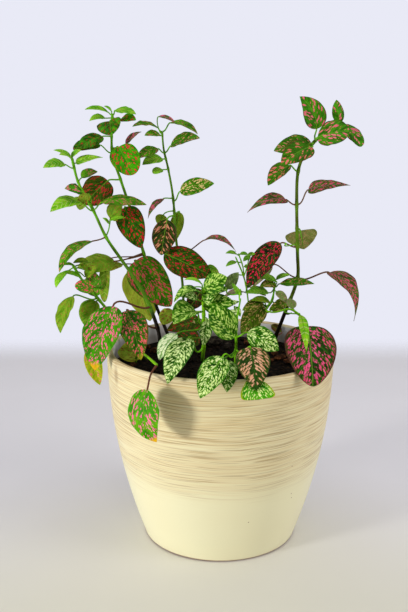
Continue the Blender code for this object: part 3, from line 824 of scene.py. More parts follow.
# Each finish: its two greens, its two spot colours, the colour and strength of its edge, the
# cover, pitch and stretch of its spots, and what it changes in the first finish.
leafFinishes = {
    "limeVeined": ("#4C9A08", "#8ACC1E", "#D8A878", "#B08850", "#A8CC50", 0.3, 0.18, 1.0, 0.8,
        {"vein": "#C0D880", "veinShare": 0.6, "spread": 0.15, "fringeShare": 0.2}),
    "greenPink": ("#2C8204", "#62B406", "#F27AA8", "#EE6A8C", "#4C9A0C", 0.3, 0.31, 1.9, 0.7,
        {"patch": 0.16, "burnt": "#D9A80E"}),
    "bigGreenPink": ("#2A6E06", "#4AA60A", "#F86EA0", "#EE5C86", "#2C6A0C", 0.3, 0.34, 1.8, 0.65,
        {"patch": 0.14, "burnt": "#D9A80E", "ragged": 0.3}),
    "pinkOnGreen": ("#1E4E04", "#387E08", "#F26478", "#DC6458", "#5A3A18", 0.6, 0.33, 1.75, 0.62,
        {"burnt": "#A8A020", "ragged": 0.4, "patch": 0.14}),
    "darkPink": ("#265808", "#48A012", "#EE7C8C", "#D85C70", "#3A2014", 0.7, 0.32, 2.3, 0.95,
        {"patch": 0.22}),
    "salmonStripes": ("#2F6804", "#5CA412", "#D98270", "#A85850", "#5A3A24", 0.6, 0.28, 1.5, 1.15,
        {}),
    "darkRed": ("#1E4406", "#30760C", "#E01436", "#B40C28", "#4A1A14", 0.75, 0.33, 1.7, 0.6,
        {"vein": "#2F6410", "rib": "#3E7A18", "ribShare": 0.5, "patch": 0.22, "ragged": 0.4,
        "fringe": "#5A1A10", "fringeShare": 0.4}),
    "redDots": ("#1E3A06", "#2C6008", "#D81C3C", "#A81428", "#4A1A14", 0.75, 0.3, 1.9, 0.58,
        {"ragged": 0.4, "patch": 0.12, "fringe": "#5A2012", "fringeShare": 0.8}),
    "brightRed": ("#247A04", "#4CB00A", "#E4203E", "#C0182E", "#2E7A0C", 0.3, 0.3, 1.9, 0.7,
        {}),
    # olive leaves with red spots, darkened further as painted shade for leaves deep under the
    # others
    "darkSpotted": ("#283A08", "#38560C", "#B83430", "#8A2424", "#3A2A12", 0.6, 0.31, 1.9, 0.8,
        {}),
    "coral": ("#34840E", "#5CB014", "#FF6A76", "#F0465C", "#4E2A1C", 0.5, 0.4, 1.95, 0.6,
        {"rib": "#4E8422", "fringe": "#5A2A14", "fringeShare": 0.45, "ragged": 0.4}),
    "olive": ("#4E7A0C", "#84A824", "#A86A40", "#84462C", "#5A5020", 0.5, 0.24, 1.0, 0.8,
        {}),
    "paleUnder": ("#6C9E14", "#9CC02C", "#C87A50", "#A85A3C", "#1F5608", 0.3, 0.08, 1.4, 0.8,
        {"vein": "#A8C060", "veinShare": 0.5, "spread": 0.12, "under": "#8A9A30"}),
    "tanUnder": ("#6A7A2C", "#9A9A5C", "#C89A72", "#A8805C", "#6E7A30", 0.3, 0.3, 1.6, 0.8,
        {"vein": "#8A9A4C", "veinShare": 0.5, "under": "#8E9450", "underShare": 0.3}),
    "yellowed": ("#7A9A0E", "#B4BC1E", "#E88A7A", "#D86A60", "#C8C41E", 0.7, 0.2, 1.5, 0.8,
        {"vein": "#D0D050", "under": "#A8AE20"}),
    "brownUnder": ("#6A861A", "#9CAE34", "#8A4A24", "#6A3418", "#B0A424", 0.6, 0.24, 1.8, 0.8,
        {"vein": "#98A03C", "veinShare": 0.5, "under": "#84942A", "underShare": 0.5}),
    "darkTan": ("#245604", "#42860E", "#D49A78", "#B0685C", "#34401A", 0.6, 0.29, 1.4, 0.9,
        {}),
    "darkSalmon": ("#161E0A", "#2A3C10", "#D6906E", "#A8685A", "#5A3A34", 0.7, 0.36, 1.9, 1.4,
        {}),
    "oliveTan": ("#324206", "#52700E", "#C8AC6C", "#A08448", "#4E4A1C", 0.6, 0.36, 1.5, 0.8,
        {"fringeShare": 0.3, "fringe": "#4E5A12"}),
    "creamTan": ("#2C6804", "#48880E", "#E2D08A", "#CFA878", "#2C5A10", 0.3, 0.36, 1.45, 0.9,
        {}),
    "salmon": ("#245404", "#3E7E0E", "#E08070", "#C86458", "#6A2A28", 0.7, 0.31, 2.2, 1.0,
        {"patch": 0.2}),
    "purple": ("#344C14", "#4C7420", "#EC5A7C", "#B0446A", "#5E2238", 0.8, 0.38, 1.6, 0.85,
        {"vein": "#6A404A", "rib": "#A86A84"}),
    "densePink": ("#121F0A", "#22420F", "#EC2C54", "#A8182E", "#4A1020", 0.85, 0.37, 1.5, 0.6,
        {"rib": "#3E3A1C", "fringe": "#4A1018"}),
    "splashPink": ("#143808", "#24600E", "#FF6AA2", "#D43A60", "#5A1A2A", 0.8, 0.43, 1.7, 0.85,
        {"spread": 0.22, "ribClear": 0.9, "keepVeins": 0.5, "rib": "#8AB43A", "patch": 0.14,
        "ragged": 0.9, "ribShare": 0.75}),
    "whiteSplash": ("#123C04", "#2A6E06", "#EAF8B8", "#CCE684", "#4E9A1C", 0.5, 0.42, 1.12, 0.95,
        {**whiteBlotch, "vein": "#2E7A12", "veinShare": 0.6, "rib": "#78B82C", "fringe": "#84BE30",
        "under": "#A8C884"}),
    "limeSplash": ("#1E4A04", "#2E6C06", "#CCE682", "#AAD058", "#5EA01A", 0.3, 0.4, 1.2, 1.1,
        {**whiteBlotch, "vein": "#2E7A12", "veinShare": 0.6, "keepVeins": 0.6, "rib": "#6AA81C",
        "fringe": "#72AC26", "under": "#9CC060"}),
    "whiteYellowed": ("#1E7A06", "#50AA0C", "#EAF4A8", "#C8E070", "#D8C81E", 0.5, 0.36, 1.25, 0.95,
        {**whiteBlotch, "vein": "#4E9A2C", "patch": 0.14, "fringe": "#74BC2C",
        "fringeShare": 0.8}),
    "creamStripes": ("#1A4206", "#2A640A", "#E8F8B8", "#CCE690", "#2F7420", 0.4, 0.46, 1.25, 1.35,
        {**whiteBlotch, "vein": "#1F5A12", "veinShare": 0.8, "spread": 0.14, "patch": 0.12,
        "keepVeins": 0.75, "ribClear": 0.3, "ragged": 1.0, "rib": "#8CB85C", "fringe": "#84B444",
        "under": "#A8C884"}),
    "paleGrey": ("#5E8A46", "#8AB070", "#E4EEC8", "#CFE0B0", "#8FB48A", 0.3, 0.62, 1.3, 0.8,
        {"spread": 0.15, "keepVeins": 0.4, "ragged": 1.0, "fringe": "#8EB084"}),
    "tanSplash": ("#1A3808", "#264E0A", "#F0BC9C", "#C88E68", "#34401A", 0.6, 0.46, 1.9, 1.25,
        {"vein": "#1F4A0C", "veinShare": 0.8, "spread": 0.15, "patch": 0.12, "keepVeins": 0.85,
        "ribClear": 0.7, "ragged": 1.0, "rib": "#2F6412", "fringe": "#7A6A2A",
        "fringeShare": 0.5}),
    "mossRed": ("#1E4404", "#3E9A0C", "#B82A2C", "#7A2414", "#3A2A10", 0.6, 0.25, 1.5, 0.8,
        {}),
    "greyGreen": ("#48602A", "#6E8648", "#9CAC74", "#86965E", "#46562E", 0.3, 0.34, 1.3, 0.8,
        {"vein": "#8A9A72", "veinShare": 0.5, "fringeShare": 0.1}),
    "duskyStem": ("#5E5640", "#857868", "#8A6A64", "#7A5A58", "#6A5A4E", 0.3, 0.3, 1.4, 0.8,
        {"vein": "#7A9A3C"}),
    "youngGreen": ("#3C780C", "#6EAC22", "#A8A468", "#8A8A50", "#5C9A24", 0.3, 0.22, 1.0, 0.8,
        {"vein": "#9CC85A", "veinShare": 0.5, "fringeShare": 0.2}),
    "shadedRed": ("#141C08", "#22300E", "#7E2428", "#5A181C", "#2A1A10", 0.3, 0.3, 1.6, 0.8,
        {}),
    "duskyPale": ("#5C7438", "#86985A", "#C88C90", "#B07478", "#B87888", 0.7, 0.2, 1.4, 0.8,
        {"vein": "#A8A888"}),
    "dried": ("#4A3A16", "#75612A", "#8A5A30", "#5A3A1C", "#6A5424", 0.3, 0.27, 1.4, 0.8,
        {"vein": "#8A7440", "under": "#5E4A24"}),
    "limeOlive": ("#5E8A12", "#8CAC30", "#B8864A", "#9A6A38", "#A0B43C", 0.5, 0.2, 1.1, 0.8,
        {"vein": "#B4C858", "veinShare": 0.5, "fringeShare": 0.2}),
    "oliveLime": ("#4E820A", "#7CA422", "#A87838", "#7E5628", "#86A830", 0.3, 0.26, 0.95, 0.8,
        {"vein": "#98B840", "veinShare": 0.4, "fringeShare": 0.2}),
    "seedlingGreen": ("#4C9C0A", "#8ACC2A", "#D89A70", "#B8885C", "#6AAA24", 0.3, 0.1, 1.4, 0.8,
        {"vein": "#A8D45A", "veinShare": 0.5, "spread": 0.12}),
}


def leafMaterial(name, finish):
    look = {**leafFinish, **dict(zip(finishColumns, finish)), **finish[-1]}
    look = {key: srgb(value) if isinstance(value, str) else value for key, value in look.items()}
    material, shader, add = newMaterial(name + "Leaf")
    # A living leaf: a soft cuticle sheen over green tissue, pillowed between its side veins,
    # with pigment-free or red blotches that run along the veins as they do on Hypoestes.
    shape = add("Attribute", attribute_name="leafPlace").outputs["Vector"]
    across, share, phase = add("SeparateXYZ", [shape]).outputs
    veins = add("Attribute", attribute_name="leafVeins").outputs["Vector"]
    start, out, side = add("SeparateXYZ", [veins]).outputs
    seed = add("Attribute", attribute_name="leafSeed").outputs["Fac"]
    offset = add("Math", [seed, 90.0], operation="MULTIPLY")
    flat = add("CombineXYZ", [start, out, offset])
    patches = add("TexNoise", {"Vector": flat, "Scale": look["patchScale"], "Detail": 2.0})
    tissue = add("TexNoise", {"Vector": flat, "Scale": look["tissueScale"], "Detail": 3.0})
    ragged = add("TexNoise", {"Vector": flat, "Scale": look["raggedScale"], "Detail": 2.0})

    # the side veins stand where the phase is whole, and the midrib where nothing is out
    half = add("Math", [phase, 0.5], operation="ADD")
    turn = add("Math", [half], operation="FRACT")
    middle = add("Math", [turn, 0.5], operation="SUBTRACT")
    offVein = add("Math", [middle], operation="ABSOLUTE")
    veinLine = add("MapRange", [offVein, *look["veinEdge"]])
    offRib = add("Math", [out], operation="ABSOLUTE")
    taper = add("MapRange", [share, 0.0, 1.0, 1.0, look["ribTaper"]])
    thin = add("Math", [offRib, taper], operation="MULTIPLY")
    ribLine = add("MapRange", [thin, *look["ribEdge"]])
    absAcross = add("Math", [across], operation="ABSOLUTE")

    # the blotches: cells stretched along the side veins, with ragged edges
    cellSize = (1 / look["pitch"], 1 / look["pitch"] / look["stretch"], 1.0)
    cellPlace = add("VectorMath", [flat, cellSize], operation="MULTIPLY")
    shift = add("VectorMath", [ragged.outputs["Color"], (0.5, 0.5, 0.5)], operation="SUBTRACT")
    small = add("VectorMath", [shift, (look["ragged"], look["ragged"], 0.0)], operation="MULTIPLY")
    cellPlace = add("VectorMath", [cellPlace, small], operation="ADD")
    cells = add("TexVoronoi", {"Vector": cellPlace, "Scale": 1.0})
    pick = add("SeparateColor", [cells.outputs["Color"]]).outputs
    size = add("MapRange", [pick[0], 0.0, 1.0, look["cover"] - look["spread"],
                            look["cover"] + look["spread"]])
    swell = add("MapRange", [patches, 0.3, 0.7, -look["patch"], look["patch"]])
    reach = add("Math", [size, swell], operation="ADD")
    inside = add("Math", [reach, cells.outputs["Distance"]], operation="SUBTRACT")

    # nothing is spotted beside the midrib, along the rim, or on a kept vein
    offMiddle = add("MapRange", [offRib, look["ribClear"] * 0.6, look["ribClear"] * 1.2])
    offRim = add("MapRange", [absAcross, *look["rimBare"]])
    offLine = add("MapRange", [veinLine, 0.2, 0.9, 1.0, 1 - look["keepVeins"]])
    clear = add("Math", [offMiddle, offRim], operation="MULTIPLY")
    clear = add("Math", [clear, offLine], operation="MULTIPLY")
    spot = add("MapRange", [inside, -look["soft"], look["soft"]], interpolation_type="SMOOTHSTEP")
    blotch = add("Math", [spot, clear], operation="MULTIPLY")
    outer = add("Math", [absAcross, pick[1]], operation="ADD")
    deep = add("Math", [outer, 0.5], operation="MULTIPLY")
    tint = add("Mix", {0: deep, 6: look["spotA"], 7: look["spotB"]}, data_type="RGBA")

    # each colour lies over those before it, by its share
    tone = add("MapRange", [patches, 0.36, 0.64])
    pale = add("Math", [veinLine, look["veinShare"]], operation="MULTIPLY")
    around = add("MapRange", [inside, -0.2, -0.02, 0.0, look["fringeShare"]])
    ring = add("Math", [around, clear], operation="MULTIPLY")
    ribOn = add("Math", [ribLine, look["ribShare"]], operation="MULTIPLY")
    rim = add("MapRange", [absAcross, *look["rimBand"], 0.0, look["edgeShare"]])
    layers = [(tone, look["bright"]), (pale, look["vein"]), (ring, look["fringe"]),
              (blotch, tint), (ribOn, look["rib"]), (rim, look["edge"])]
    if look["burnt"]:
        frayed = add("MapRange", [patches, 0.0, 1.0, -look["burntFray"], look["burntFray"]])
        end = add("Math", [share, frayed], operation="ADD")
        layers.append((add("MapRange", [end, *look["burntEdge"]]), look["burnt"]))
    below = add("MapRange", [side, 0.2, -0.2, 0.0, look["underShare"]])
    colour = look["dark"]
    for amount, over in [*layers, (below, look["under"])]:
        colour = add("Mix", {0: amount, 6: colour, 7: over}, data_type="RGBA")

    sheen = add("MapRange", [tissue, 0.3, 0.7, look["rough"] - 0.06, look["rough"] + 0.1])
    sunk = add("Math", [veinLine, -0.5], operation="MULTIPLY")
    relief = add("Math", [tissue, sunk], operation="ADD")
    bump = add("Bump", {"Height": relief, "Strength": 0.35, "Distance": 0.2 * mm})
    setInputs(shader, {"Base Color": colour, "Roughness": sheen, "IOR": 1.42,
                       "Specular IOR Level": 0.06, "Normal": bump})
    return material


leafMaterials = {name: leafMaterial(name, finish) for name, finish in leafFinishes.items()}

ovate, heart, lance, roundish = (0.55, 0.85), (0.36, 0.75), (0.75, 1.0), (0.45, 0.5)
upFront, sideFront = (0, -0.7, 1), (0.3, -0.9, 0.7)
brown = {"stalkBark": "stalkBrown"}

# Each large leaf: the height where it joins its stem, the base and the tip of its blade and
# its width in mm, its finish, the way its upper side looks, its bend, its outline where it
# isn't ovate, and what is its own.
leaves = {
    "left_tall": [
        (245, (-102, 18, 248), (-114, 8, 247), 9, "limeVeined", (0, -1, 1), 0.1),
        (230, (-91, 16, 230), (-101, 10, 233), 10, "darkPink", (0, -0.8, 1), 0.1),
        (217, (-92, 19, 223), (-110, 4, 219), 14, "limeVeined", (0.3, -0.3, 1), 0.16),
        (217, (-78, 20, 223), (-49, 22, 221), 13, "salmonStripes", (0, -0.5, 1), 0.08),
        (199, (-86, 18, 197), (-106, 2, 180), 14, "salmonStripes", (-0.5, -0.5, 1), 0.15, brown),
        (151, (-70, -10, 159), (-80, -34, 124), 28, "bigGreenPink", (-0.45, -1, 0.3), 0.06, brown),
        (137, (-61, -6, 155), (-50, -38, 132), 20, "pinkOnGreen", (0.2, -1, 0.5), 0.08, brown),
    ],
    "left_inner": [
        (276, (-73, 32, 275), (-71, 20, 267), 18, "mossRed", (-0.35, -0.5, 1), 0.05, roundish,
         {"fold": 22}),
        (279, (-70, 38, 282), (-56, 35, 280), 11, "seedlingGreen", (0, -0.4, 1), 0.06),
        (265, (-79, 36, 265), (-93, 24, 258), 12, "mossRed", (0, -1, 0.9), 0.06, (0.5, 0.6)),
        (256, (-68, 34, 258), (-57, 24, 241), 20, "brightRed", (0, -1, 0.4), 0.1, (0.4, 0.5)),
        (236, (-76.5, 42, 235), (-92, 35, 220), 21, "darkSpotted", (0, -1, 0.4), 0.06,
         (0.42, 0.62)),
        (216, (-65, 38, 217), (-54, 33, 190), 19, "darkRed", (0, -1, 0.3), 0.06, heart),
        (184, (-73, 38, 180), (-97, 24, 178), 15, "limeOlive", (0, -0.6, 1), 0.08, brown),
        (178, (-59, 42, 179), (-34, 40, 147), 27, "coral", (0.1, -1, 0.1), 0.05, heart),
        (174, (-61, 54, 171), (-50, 60, 132), 27, "brownUnder", (0, 1, 0.3), 0.05),
    ],
    "left_low": [
        (159, (-84, 16, 160), (-86, 18, 177.5), 14, "salmonStripes", (-0.3, -1, 0.3), 0.05),
        (159, (-98, 6, 162), (-106, -4, 140), 15, "oliveLime", (-0.8, -0.8, 0.3), 0.1),
        (142, (-88, 8, 126), (-81, 1, 102), 12, "yellowed", (0, -1, 0.2), 0.05),
    ],
    "middle": [
        (267, (-42, 38, 271), (-58, 30, 272), 11, "salmonStripes", (0, -0.3, 1), 0.1),
        (254, (-42, 36, 257), (-55, 28, 251), 10, "salmonStripes", (0, -0.7, 1), 0.1),
        (254, (-33, 36, 259), (-14, 28, 265), 14, "darkTan", (0, -0.7, 1), 0.08),
        (221, (-27, 40, 228), (-4, 34, 234), 13, "creamTan", (0, -1, 0.7), 0.08),
        (211, (-36, 36, 209), (-40, 28, 186), 17, "darkSalmon", (-0.1, -1, 0.2), 0.05,
         (0.6, 0.75)),
        (187, (-38, 34, 186), (-5, 30, 171), 21, "redDots", (0.1, -1, 0.3), 0.05),
        (183, (-10, 38, 195), (11, 26, 189), 9, "purple", (0, -0.3, 1), 0.2, (0.45, 1.4), brown),
    ],
    "right_tall": [
        (264, (61, 9, 271), (49.5, 6, 291), 16, "darkPink", (0.2, -1, 0.2), 0.08, (0.5, 0.95),
         {"sway": 0.1}),
        (273, (76, 6, 272.5), (88.5, -2, 261), 11, "darkPink", (0.3, -0.9, 0.7), 0.1, (0.35, 0.4)),
        (264, (61, 1, 266), (79.5, -6, 270), 20, "darkPink", (0, -0.9, 0.8), 0.08, roundish),
        (262, (57, 2, 262), (33, -4, 258), 14, "darkTan", (0, -1, 0.6), 0.08),
        (244, (44, 8, 248), (30, 2, 236), 13, "salmon", (-0.4, -0.8, 0.7), 0.08, {"fold": 24}),
        (222, (57.5, 13, 232), (83, 4, 236), 13, "purple", (0, -0.7, 1), 0.06, (0.28, 1.2), brown),
        (222, (42, 10, 226), (17, 0, 219.5), 13, "purple", (0, -0.6, 1), 0.14, (0.32, 1.3), brown),
        (205, (54, 25, 203), (58, 36, 189), 22, "tanUnder", (0, 1, 0.5), 0.05, heart),
        (193, (40, 16, 196), (18, 4, 168), 16, "densePink", (-0.2, -1, 0.4), 0.06,
         {**brown, "sway": 0.06}),
        (170, (74, 17, 176), (89.5, 4, 146), 20, "purple", (0.8, -0.75, 0.6), 0.25, (0.38, 1.7),
         brown),
        (154, (54.5, -26, 150), (54, -66, 125), 32, "splashPink", (0, -1, 1), 0.07, (0.44, 0.6)),
    ],
    "right_low": [
        (166, (40, 14, 169), (62, 6, 171), 9, "darkTan", (0, -0.6, 1), 0.04, lance),
        (146, (36, 24, 149), (48, 20, 154), 13, "olive", (0, -0.5, 1), 0.08),
        (150, (29, 18, 153), (14, 2, 138), 15, "oliveTan", (0, -1, 0.8), 0.06),
    ],
    "white_right": [
        (148, (16, -45, 151), (35, -48, 141), 16, "whiteSplash", (0.2, -1, 0.8), 0.08),
        (138, (17, -57, 145), (19, -88, 129), 20.5, "tanSplash", (0, -1, 1), 0.08),
        (134, (17, -70, 132), (20, -92, 125.5), 20, "whiteYellowed", (0, -0.3, 1), 0.05,
         (1.1, 0.13)),
        (136, (0, -66, 142), (-13, -88, 124), 17, "whiteSplash", (-0.2, -1, 0.8), 0.06),
        (145, (8, -48, 149), (-7.5, -54, 168), 18, "limeSplash", (0.2, -1, 0.5), 0.06, (0.7, 0.7)),
    ],
    "white_left": [
        (132, (-20.5, -49, 148.5), (-32, -78, 130), 17, "creamStripes", (-0.1, -0.6, 1), 0.08),
        (175, (-11, -40, 177), (3, -44, 185.5), 13, "limeSplash", (0, -1, 0.6), 0.06, (0.8, 0.9)),
    ],
    "front_trailing": [
        (134, (-44, -76, 125), (-39, -83, 95), 22, "greenPink", (-0.6, -1, 0.2), 0.08,
         {**brown, "sway": 0.1}),
    ],
}

# The small leaves of each stem or shoot are given in the same way; a shorter row has the
# usual facing and bend.
smallLeaves = {
    "left_tall": [
        (248, (-95, 22, 248.5), (-77.5, 24, 252), 8, "limeVeined", upFront, 0.09, (0.4, 1.2)),
        (251, (-98.5, 22, 253), (-109, 20, 257), 4, "limeVeined"),
        (251, (-98, 20, 252), (-104.5, 14, 254.5), 5.5, "limeVeined"),
        (251, (-98, 21, 252), (-91, 19, 257), 6, "limeVeined"),
        (221, (-87.7, 22, 228), (-93, 16, 221), 8, "brownUnder", (-0.3, -1, 0.3)),
        (236, (-93, 32, 238), (-83, 38, 242), 9, "salmonStripes"),
        (219, (-90, 36, 220), (-100, 48, 223), 12, "olive", (0, 1, -0.6)),
    ],
    "left_tall_shoot": [
        (210, (-74, 28, 211), (-66, 26, 221), 13, "olive", (-0.5, -1, 0.3)),
        (209, (-74, 25, 210), (-63, 21, 212.5), 4, "seedlingGreen"),
        (208, (-75, 26, 208), (-78.5, 24, 212), 3, "seedlingGreen"),
    ],
    "left_inner": [
        (257, (-64, 46, 259), (-54, 50, 268), 8, "purple", (-1, -0.7, 0.6), 0.09, lance),
        (279, (-75, 38, 281), (-89, 30, 283), 6, "seedlingGreen"),
        (277, (-77, 38, 277), (-86.5, 32, 276), 7, "seedlingGreen"),
        (279, (-72.5, 38, 281.6), (-77, 36, 285), 3, "seedlingGreen"),
        (277, (-66, 38, 276.5), (-56, 34, 276), 10, "brightRed"),
        (254, (-80.5, 34, 259.5), (-97, 26, 257.5), 10, "mossRed", (0, -1, 0.8), 0.09,
         (0.45, 0.5)),
        (177, (-68, 42, 177), (-80, 34, 172.5), 8, "brownUnder", (0, -0.6, 1), brown),
        (183, (-73, 30, 181), (-90, 18, 176.5), 11, "oliveLime", (0, -1, 0.45), brown),
        (183, (-77.5, 27, 180.5), (-77.7, 12, 157), 8, "limeOlive", (-0.1, -1, 0.1), 0.09,
         roundish, brown),
    ],
    "left_low": [
        (166, (-84.5, 8, 167), (-95, 0, 170.5), 10, "coral", (-0.3, -1, 0.5), 0.09, roundish),
        (157, (-84, 18, 156), (-92, 14, 140), 16, "oliveLime", (-0.5, -1, 0.2)),
        (181, (-102, 8, 178), (-108, 0, 169.7), 7.5, "seedlingGreen", (-0.6, -0.8, 0.6)),
        (175, (-93.5, 12, 174), (-105, 6, 178.5), 5, "seedlingGreen", (0, -0.6, 1)),
        (182, (-97.5, 14, 181.5), (-104, 8, 183), 3.5, "seedlingGreen"),
        (181, (-88, 14, 184), (-97, 8, 184.5), 6, "olive"),
        (180, (-88, 12, 178.5), (-93, 10, 183), 5, "olive"),
        (177, (-90, 14, 174), (-82, 12, 181), 7, "olive", (0, -1, 0.6)),
        (124, (-52, 2, 123), (-69, 6, 124), 17, "brownUnder", (0, -0.8, 0.8)),
    ],
    "middle": [
        (266, (-40, 34, 266), (-50, 28, 266), 8, "salmonStripes"),
        (250, (-39, 38, 250), (-52, 32, 247), 11, "limeVeined"),
        (243, (-39, 36, 243), (-45, 32, 241), 7, "limeVeined", upFront, 0.09, roundish),
        (268, (-33, 40, 274), (-15, 36, 267), 12, "salmonStripes", (0.2, -0.3, 1)),
        (268, (-41, 40, 278), (-30, 34, 274.5), 4, "purple"),
        (223, (-39, 38, 223), (-49, 30, 211), 10, "purple", (-0.8, -0.5, 1), 0.09, (0.4, 1.3)),
        (212, (-28, 52, 212), (-33, 56, 189), 10, "paleUnder", (0, 1, 0.2)),
        (214, (-39, 46, 211), (-42, 44, 204), 9, "paleUnder", (0, 1, 0.3)),
        (146, (-32, 24, 148), (-39, 14, 141), 12, "brownUnder", (-0.2, -1, 0.5), 0.09, roundish),
        (143, (-13, 20, 141), (-35, 6, 139.5), 15, "darkSpotted", (0, -1, 0.6)),
        (140, (-14, 11, 132), (-31, -2, 134.6), 13, "darkSpotted", (0, -1, 0.5)),
        (160, (-12.5, 26, 162), (-20.5, 20, 151), 12, "shadedRed", (0, -1, 0.2), 0.09, roundish),
        (144, (-20, 18, 144.5), (-15, 14, 141.5), 5, "creamTan", (0, -1, 0.5)),
        (187, (-9, 40, 176), (0, 36, 170.5), 6, "limeVeined", (0, -1, 0.5)),
    ],
    "right_tall": [
        (273, (75.5, 8, 275), (73, 9, 289), 8, "darkPink", (-0.3, -1, 0.2)),
        (259, (56.5, -3.5, 260.5), (36.8, -14, 250.5), 17, "salmon", (-0.2, -1, 0.7)),
        (171, (35, 22, 180), (22, 20, 166), 11, "duskyPale", (-0.4, -0.8, 0.8), brown),
        (124, (45, 50, 126), (38, 58, 129), 6, "dried", (0, -1, 0.3), brown),
        (122, (40, 40, 123), (36, 30, 120), 6, "dried", (0, -1, 1), brown),
        (195, (43, 16, 195), (44.4, 16, 196), 2, "seedlingGreen"),
    ],
    "right_low": [
        (168, (37.5, 14, 172), (46.5, 12, 175.3), 5.5, "youngGreen", (0, -0.5, 1)),
        (168, (37.3, 12, 171.2), (25, 8, 174.5), 7, "youngGreen", (0, -0.6, 1)),
        (167, (36.6, 12, 168.9), (26.4, 8, 168.7), 8, "oliveTan", (0, -0.8, 1)),
        (164, (37.5, 10, 164.5), (44.5, 4, 158), 6, "duskyPale", (0.3, -1, 0.5)),
        (155, (42.9, 8, 156.2), (32.6, 4, 153.6), 7.5, "oliveTan", (0, -1, 0.5)),
        (164, (32, 11, 163.6), (16.6, 4, 164.8), 8, "youngGreen"),
        (157, (33.5, 12, 156.5), (20.6, 4, 160.4), 6.5, "oliveLime"),
        (151, (29, 14, 156), (15, 6, 153), 9, "oliveTan", (0, -1, 0.7)),
    ],
    "right_runner": [
        (156, (47.5, -1, 155.5), (45.5, 5, 161), 7, "duskyPale", (0.3, -1, 0.3)),
        (155, (50.6, -20, 155.7), (51.4, -51, 142), 6.5, "limeVeined", (0, -0.5, 1), 0.09, lance),
    ],
    "white_left": [
        (148, (-28, -34, 147), (-39, -42, 133), 12, "paleGrey", (-0.6, -0.8, 0.8)),
        (153, (-15.9, -41, 163.5), (-28.7, -58, 160.5), 20, "limeSplash", (0.1, -0.5, 1),
         {"fold": 32}),
        (174, (-12.6, -38, 174.2), (-28.8, -48, 172), 9, "limeSplash", (-0.1, -0.4, 1), 0.24),
        (169, (-15, -40, 171), (-27, -45, 174.5), 8, "creamStripes", (0, -0.8, 1), 0.15),
        (176, (-12.6, -36, 180), (-22.5, -38, 183), 4.5, "seedlingGreen", (0, -0.35, 1)),
        (174, (-12, -36, 173.5), (3.6, -40, 177), 11, "limeSplash", (0, -0.8, 1)),
        (166, (-10.5, -38, 165.8), (7.5, -41, 169.3), 13, "limeSplash", (0, -1, 0.7)),
        (163, (-5, -38, 163.5), (11, -36, 168.5), 6, "creamStripes", (0, -0.8, 0.8)),
        (168, (-10.2, -43, 169.5), (-5.3, -47.5, 174.5), 6, "whiteSplash", (0, -1, 0.4)),
        (158, (-9, -39, 157), (-11.3, -44, 142.5), 8, "creamStripes", (0.2, -1, 0.3)),
        (152, (-8, -36, 153), (-2, -42, 160), 7, "whiteSplash", (0, -1, 0.4)),
    ],
    "white_right": [
        (138, (1.5, -56, 137), (2.5, -80, 125), 14, "whiteSplash", (0.3, -1, 0.8)),
        (160, (8.5, -36, 165), (11.5, -40, 160), 4, "whiteSplash"),
        (159, (4, -44, 164), (10, -44, 160), 6, "creamStripes"),
    ],
    "white_right_top": [
        (177, (11.6, -44, 174.3), (6, -46, 182.2), 3.5, "youngGreen", (-0.3, -1, 0.3)),
        (176, (3.5, -32, 175.5), (10.5, -30, 185.5), 8, "greyGreen", (-0.4, -1, 0.3)),
    ],
    "seedling_fork": [
        (189, (10.6, 10, 190), (3.6, 6, 191.4), 4, "youngGreen"),
        (189, (13, 10, 190), (18.2, 8, 189.8), 3.5, "youngGreen"),
        (184, (10.4, 12, 184.3), (3.7, 8, 182.3), 4, "youngGreen"),
    ],
    "seedling_side": [
        (187, (18, 12, 188.5), (23, 10, 190), 4, "youngGreen"),
        (186, (19.5, 12, 188), (15.2, 10, 185), 4, "youngGreen"),
        (181, (16, 12, 181), (19.3, 12, 180.7), 3.5, "youngGreen"),
    ],
    "seedling": [
        (175, (12, 14, 175), (5, 10, 170.5), 5, "darkTan"),
        (168, (20.5, 16, 166), (31, 15, 160.5), 6, "olive", upFront),
        (164, (15, 8, 164.8), (2.2, -4, 164.6), 5, "duskyStem", upFront, 0.09, lance),
    ],
}


def readLeaf(plan):
    joint, base, tip, width, finish, *rest = plan
    own = rest.pop() if rest and isinstance(rest[-1], dict) else {}
    usual = [upFront if abs(tip[0] - base[0]) > 1 else sideFront, 0.09, ovate]
    face, bend, outline = rest + usual[len(rest):]
    return {"joint": joint, "base": base, "tip": tip, "width": width, "finish": finish,
            "face": face, "bend": bend, "outline": outline, **own}


def makeLeaves(table, size, rng):
    # the leaves of each stem, each with its own mesh made from one master
    master = makeMasterLeaf(*size["cells"])
    made = {}
    for stem, plans in table.items():
        plain = size["whiteStalk"] if stem.startswith("white") else "stalkGreen"
        made[stem] = []
        for number, plan in enumerate(plans, 1):
            drawn = {key: rng.uniform(*span) for key, span in size["drawn"].items()}
            leaf = {**usualForm, **drawn, "seed": rng.random(), **readLeaf(plan)}
            piece = shapeLeaf(master, f"{size['name']}_{stem}_{number:02d}", stem, leaf)
            piece.data.materials.append(leafMaterials[leaf["finish"]])
            piece.data.materials.append(barks[leaf.get("stalkBark", plain)])
            made[stem].append(piece)
    bpy.data.objects.remove(master, do_unlink=True)
    return made


def leafSlot(stem):
    return "leaf_white" if stem.startswith("white") else "leaf_pink"


def makeFoliage():
    rng = random.Random(23)
    for stem, pieces in makeLeaves(leaves, largeLeaf, rng).items():
        for number, piece in enumerate(pieces, 1):
            keepPiece(piece, leafSlot(stem), f"leaf_{stem}_{number:02d}")
    print("large leaves made")
    for stem, pieces in makeLeaves(smallLeaves, smallLeaf, rng).items():
        selectOnly(*pieces)
        bpy.ops.object.join()
        pieces[0].name = "small_leaves_" + stem
        keepPiece(pieces[0], leafSlot(stem))
    print("small leaves made")


def makeStems():
    for name in [*stems, *shoots]:
        joints = [plan[0] for table in (leaves, smallLeaves) for plan in table.get(name, [])]
        keepPiece(makeStem(name, joints), "stem", *(["stem_" + name] if name in stems else []))
    print("stems made")


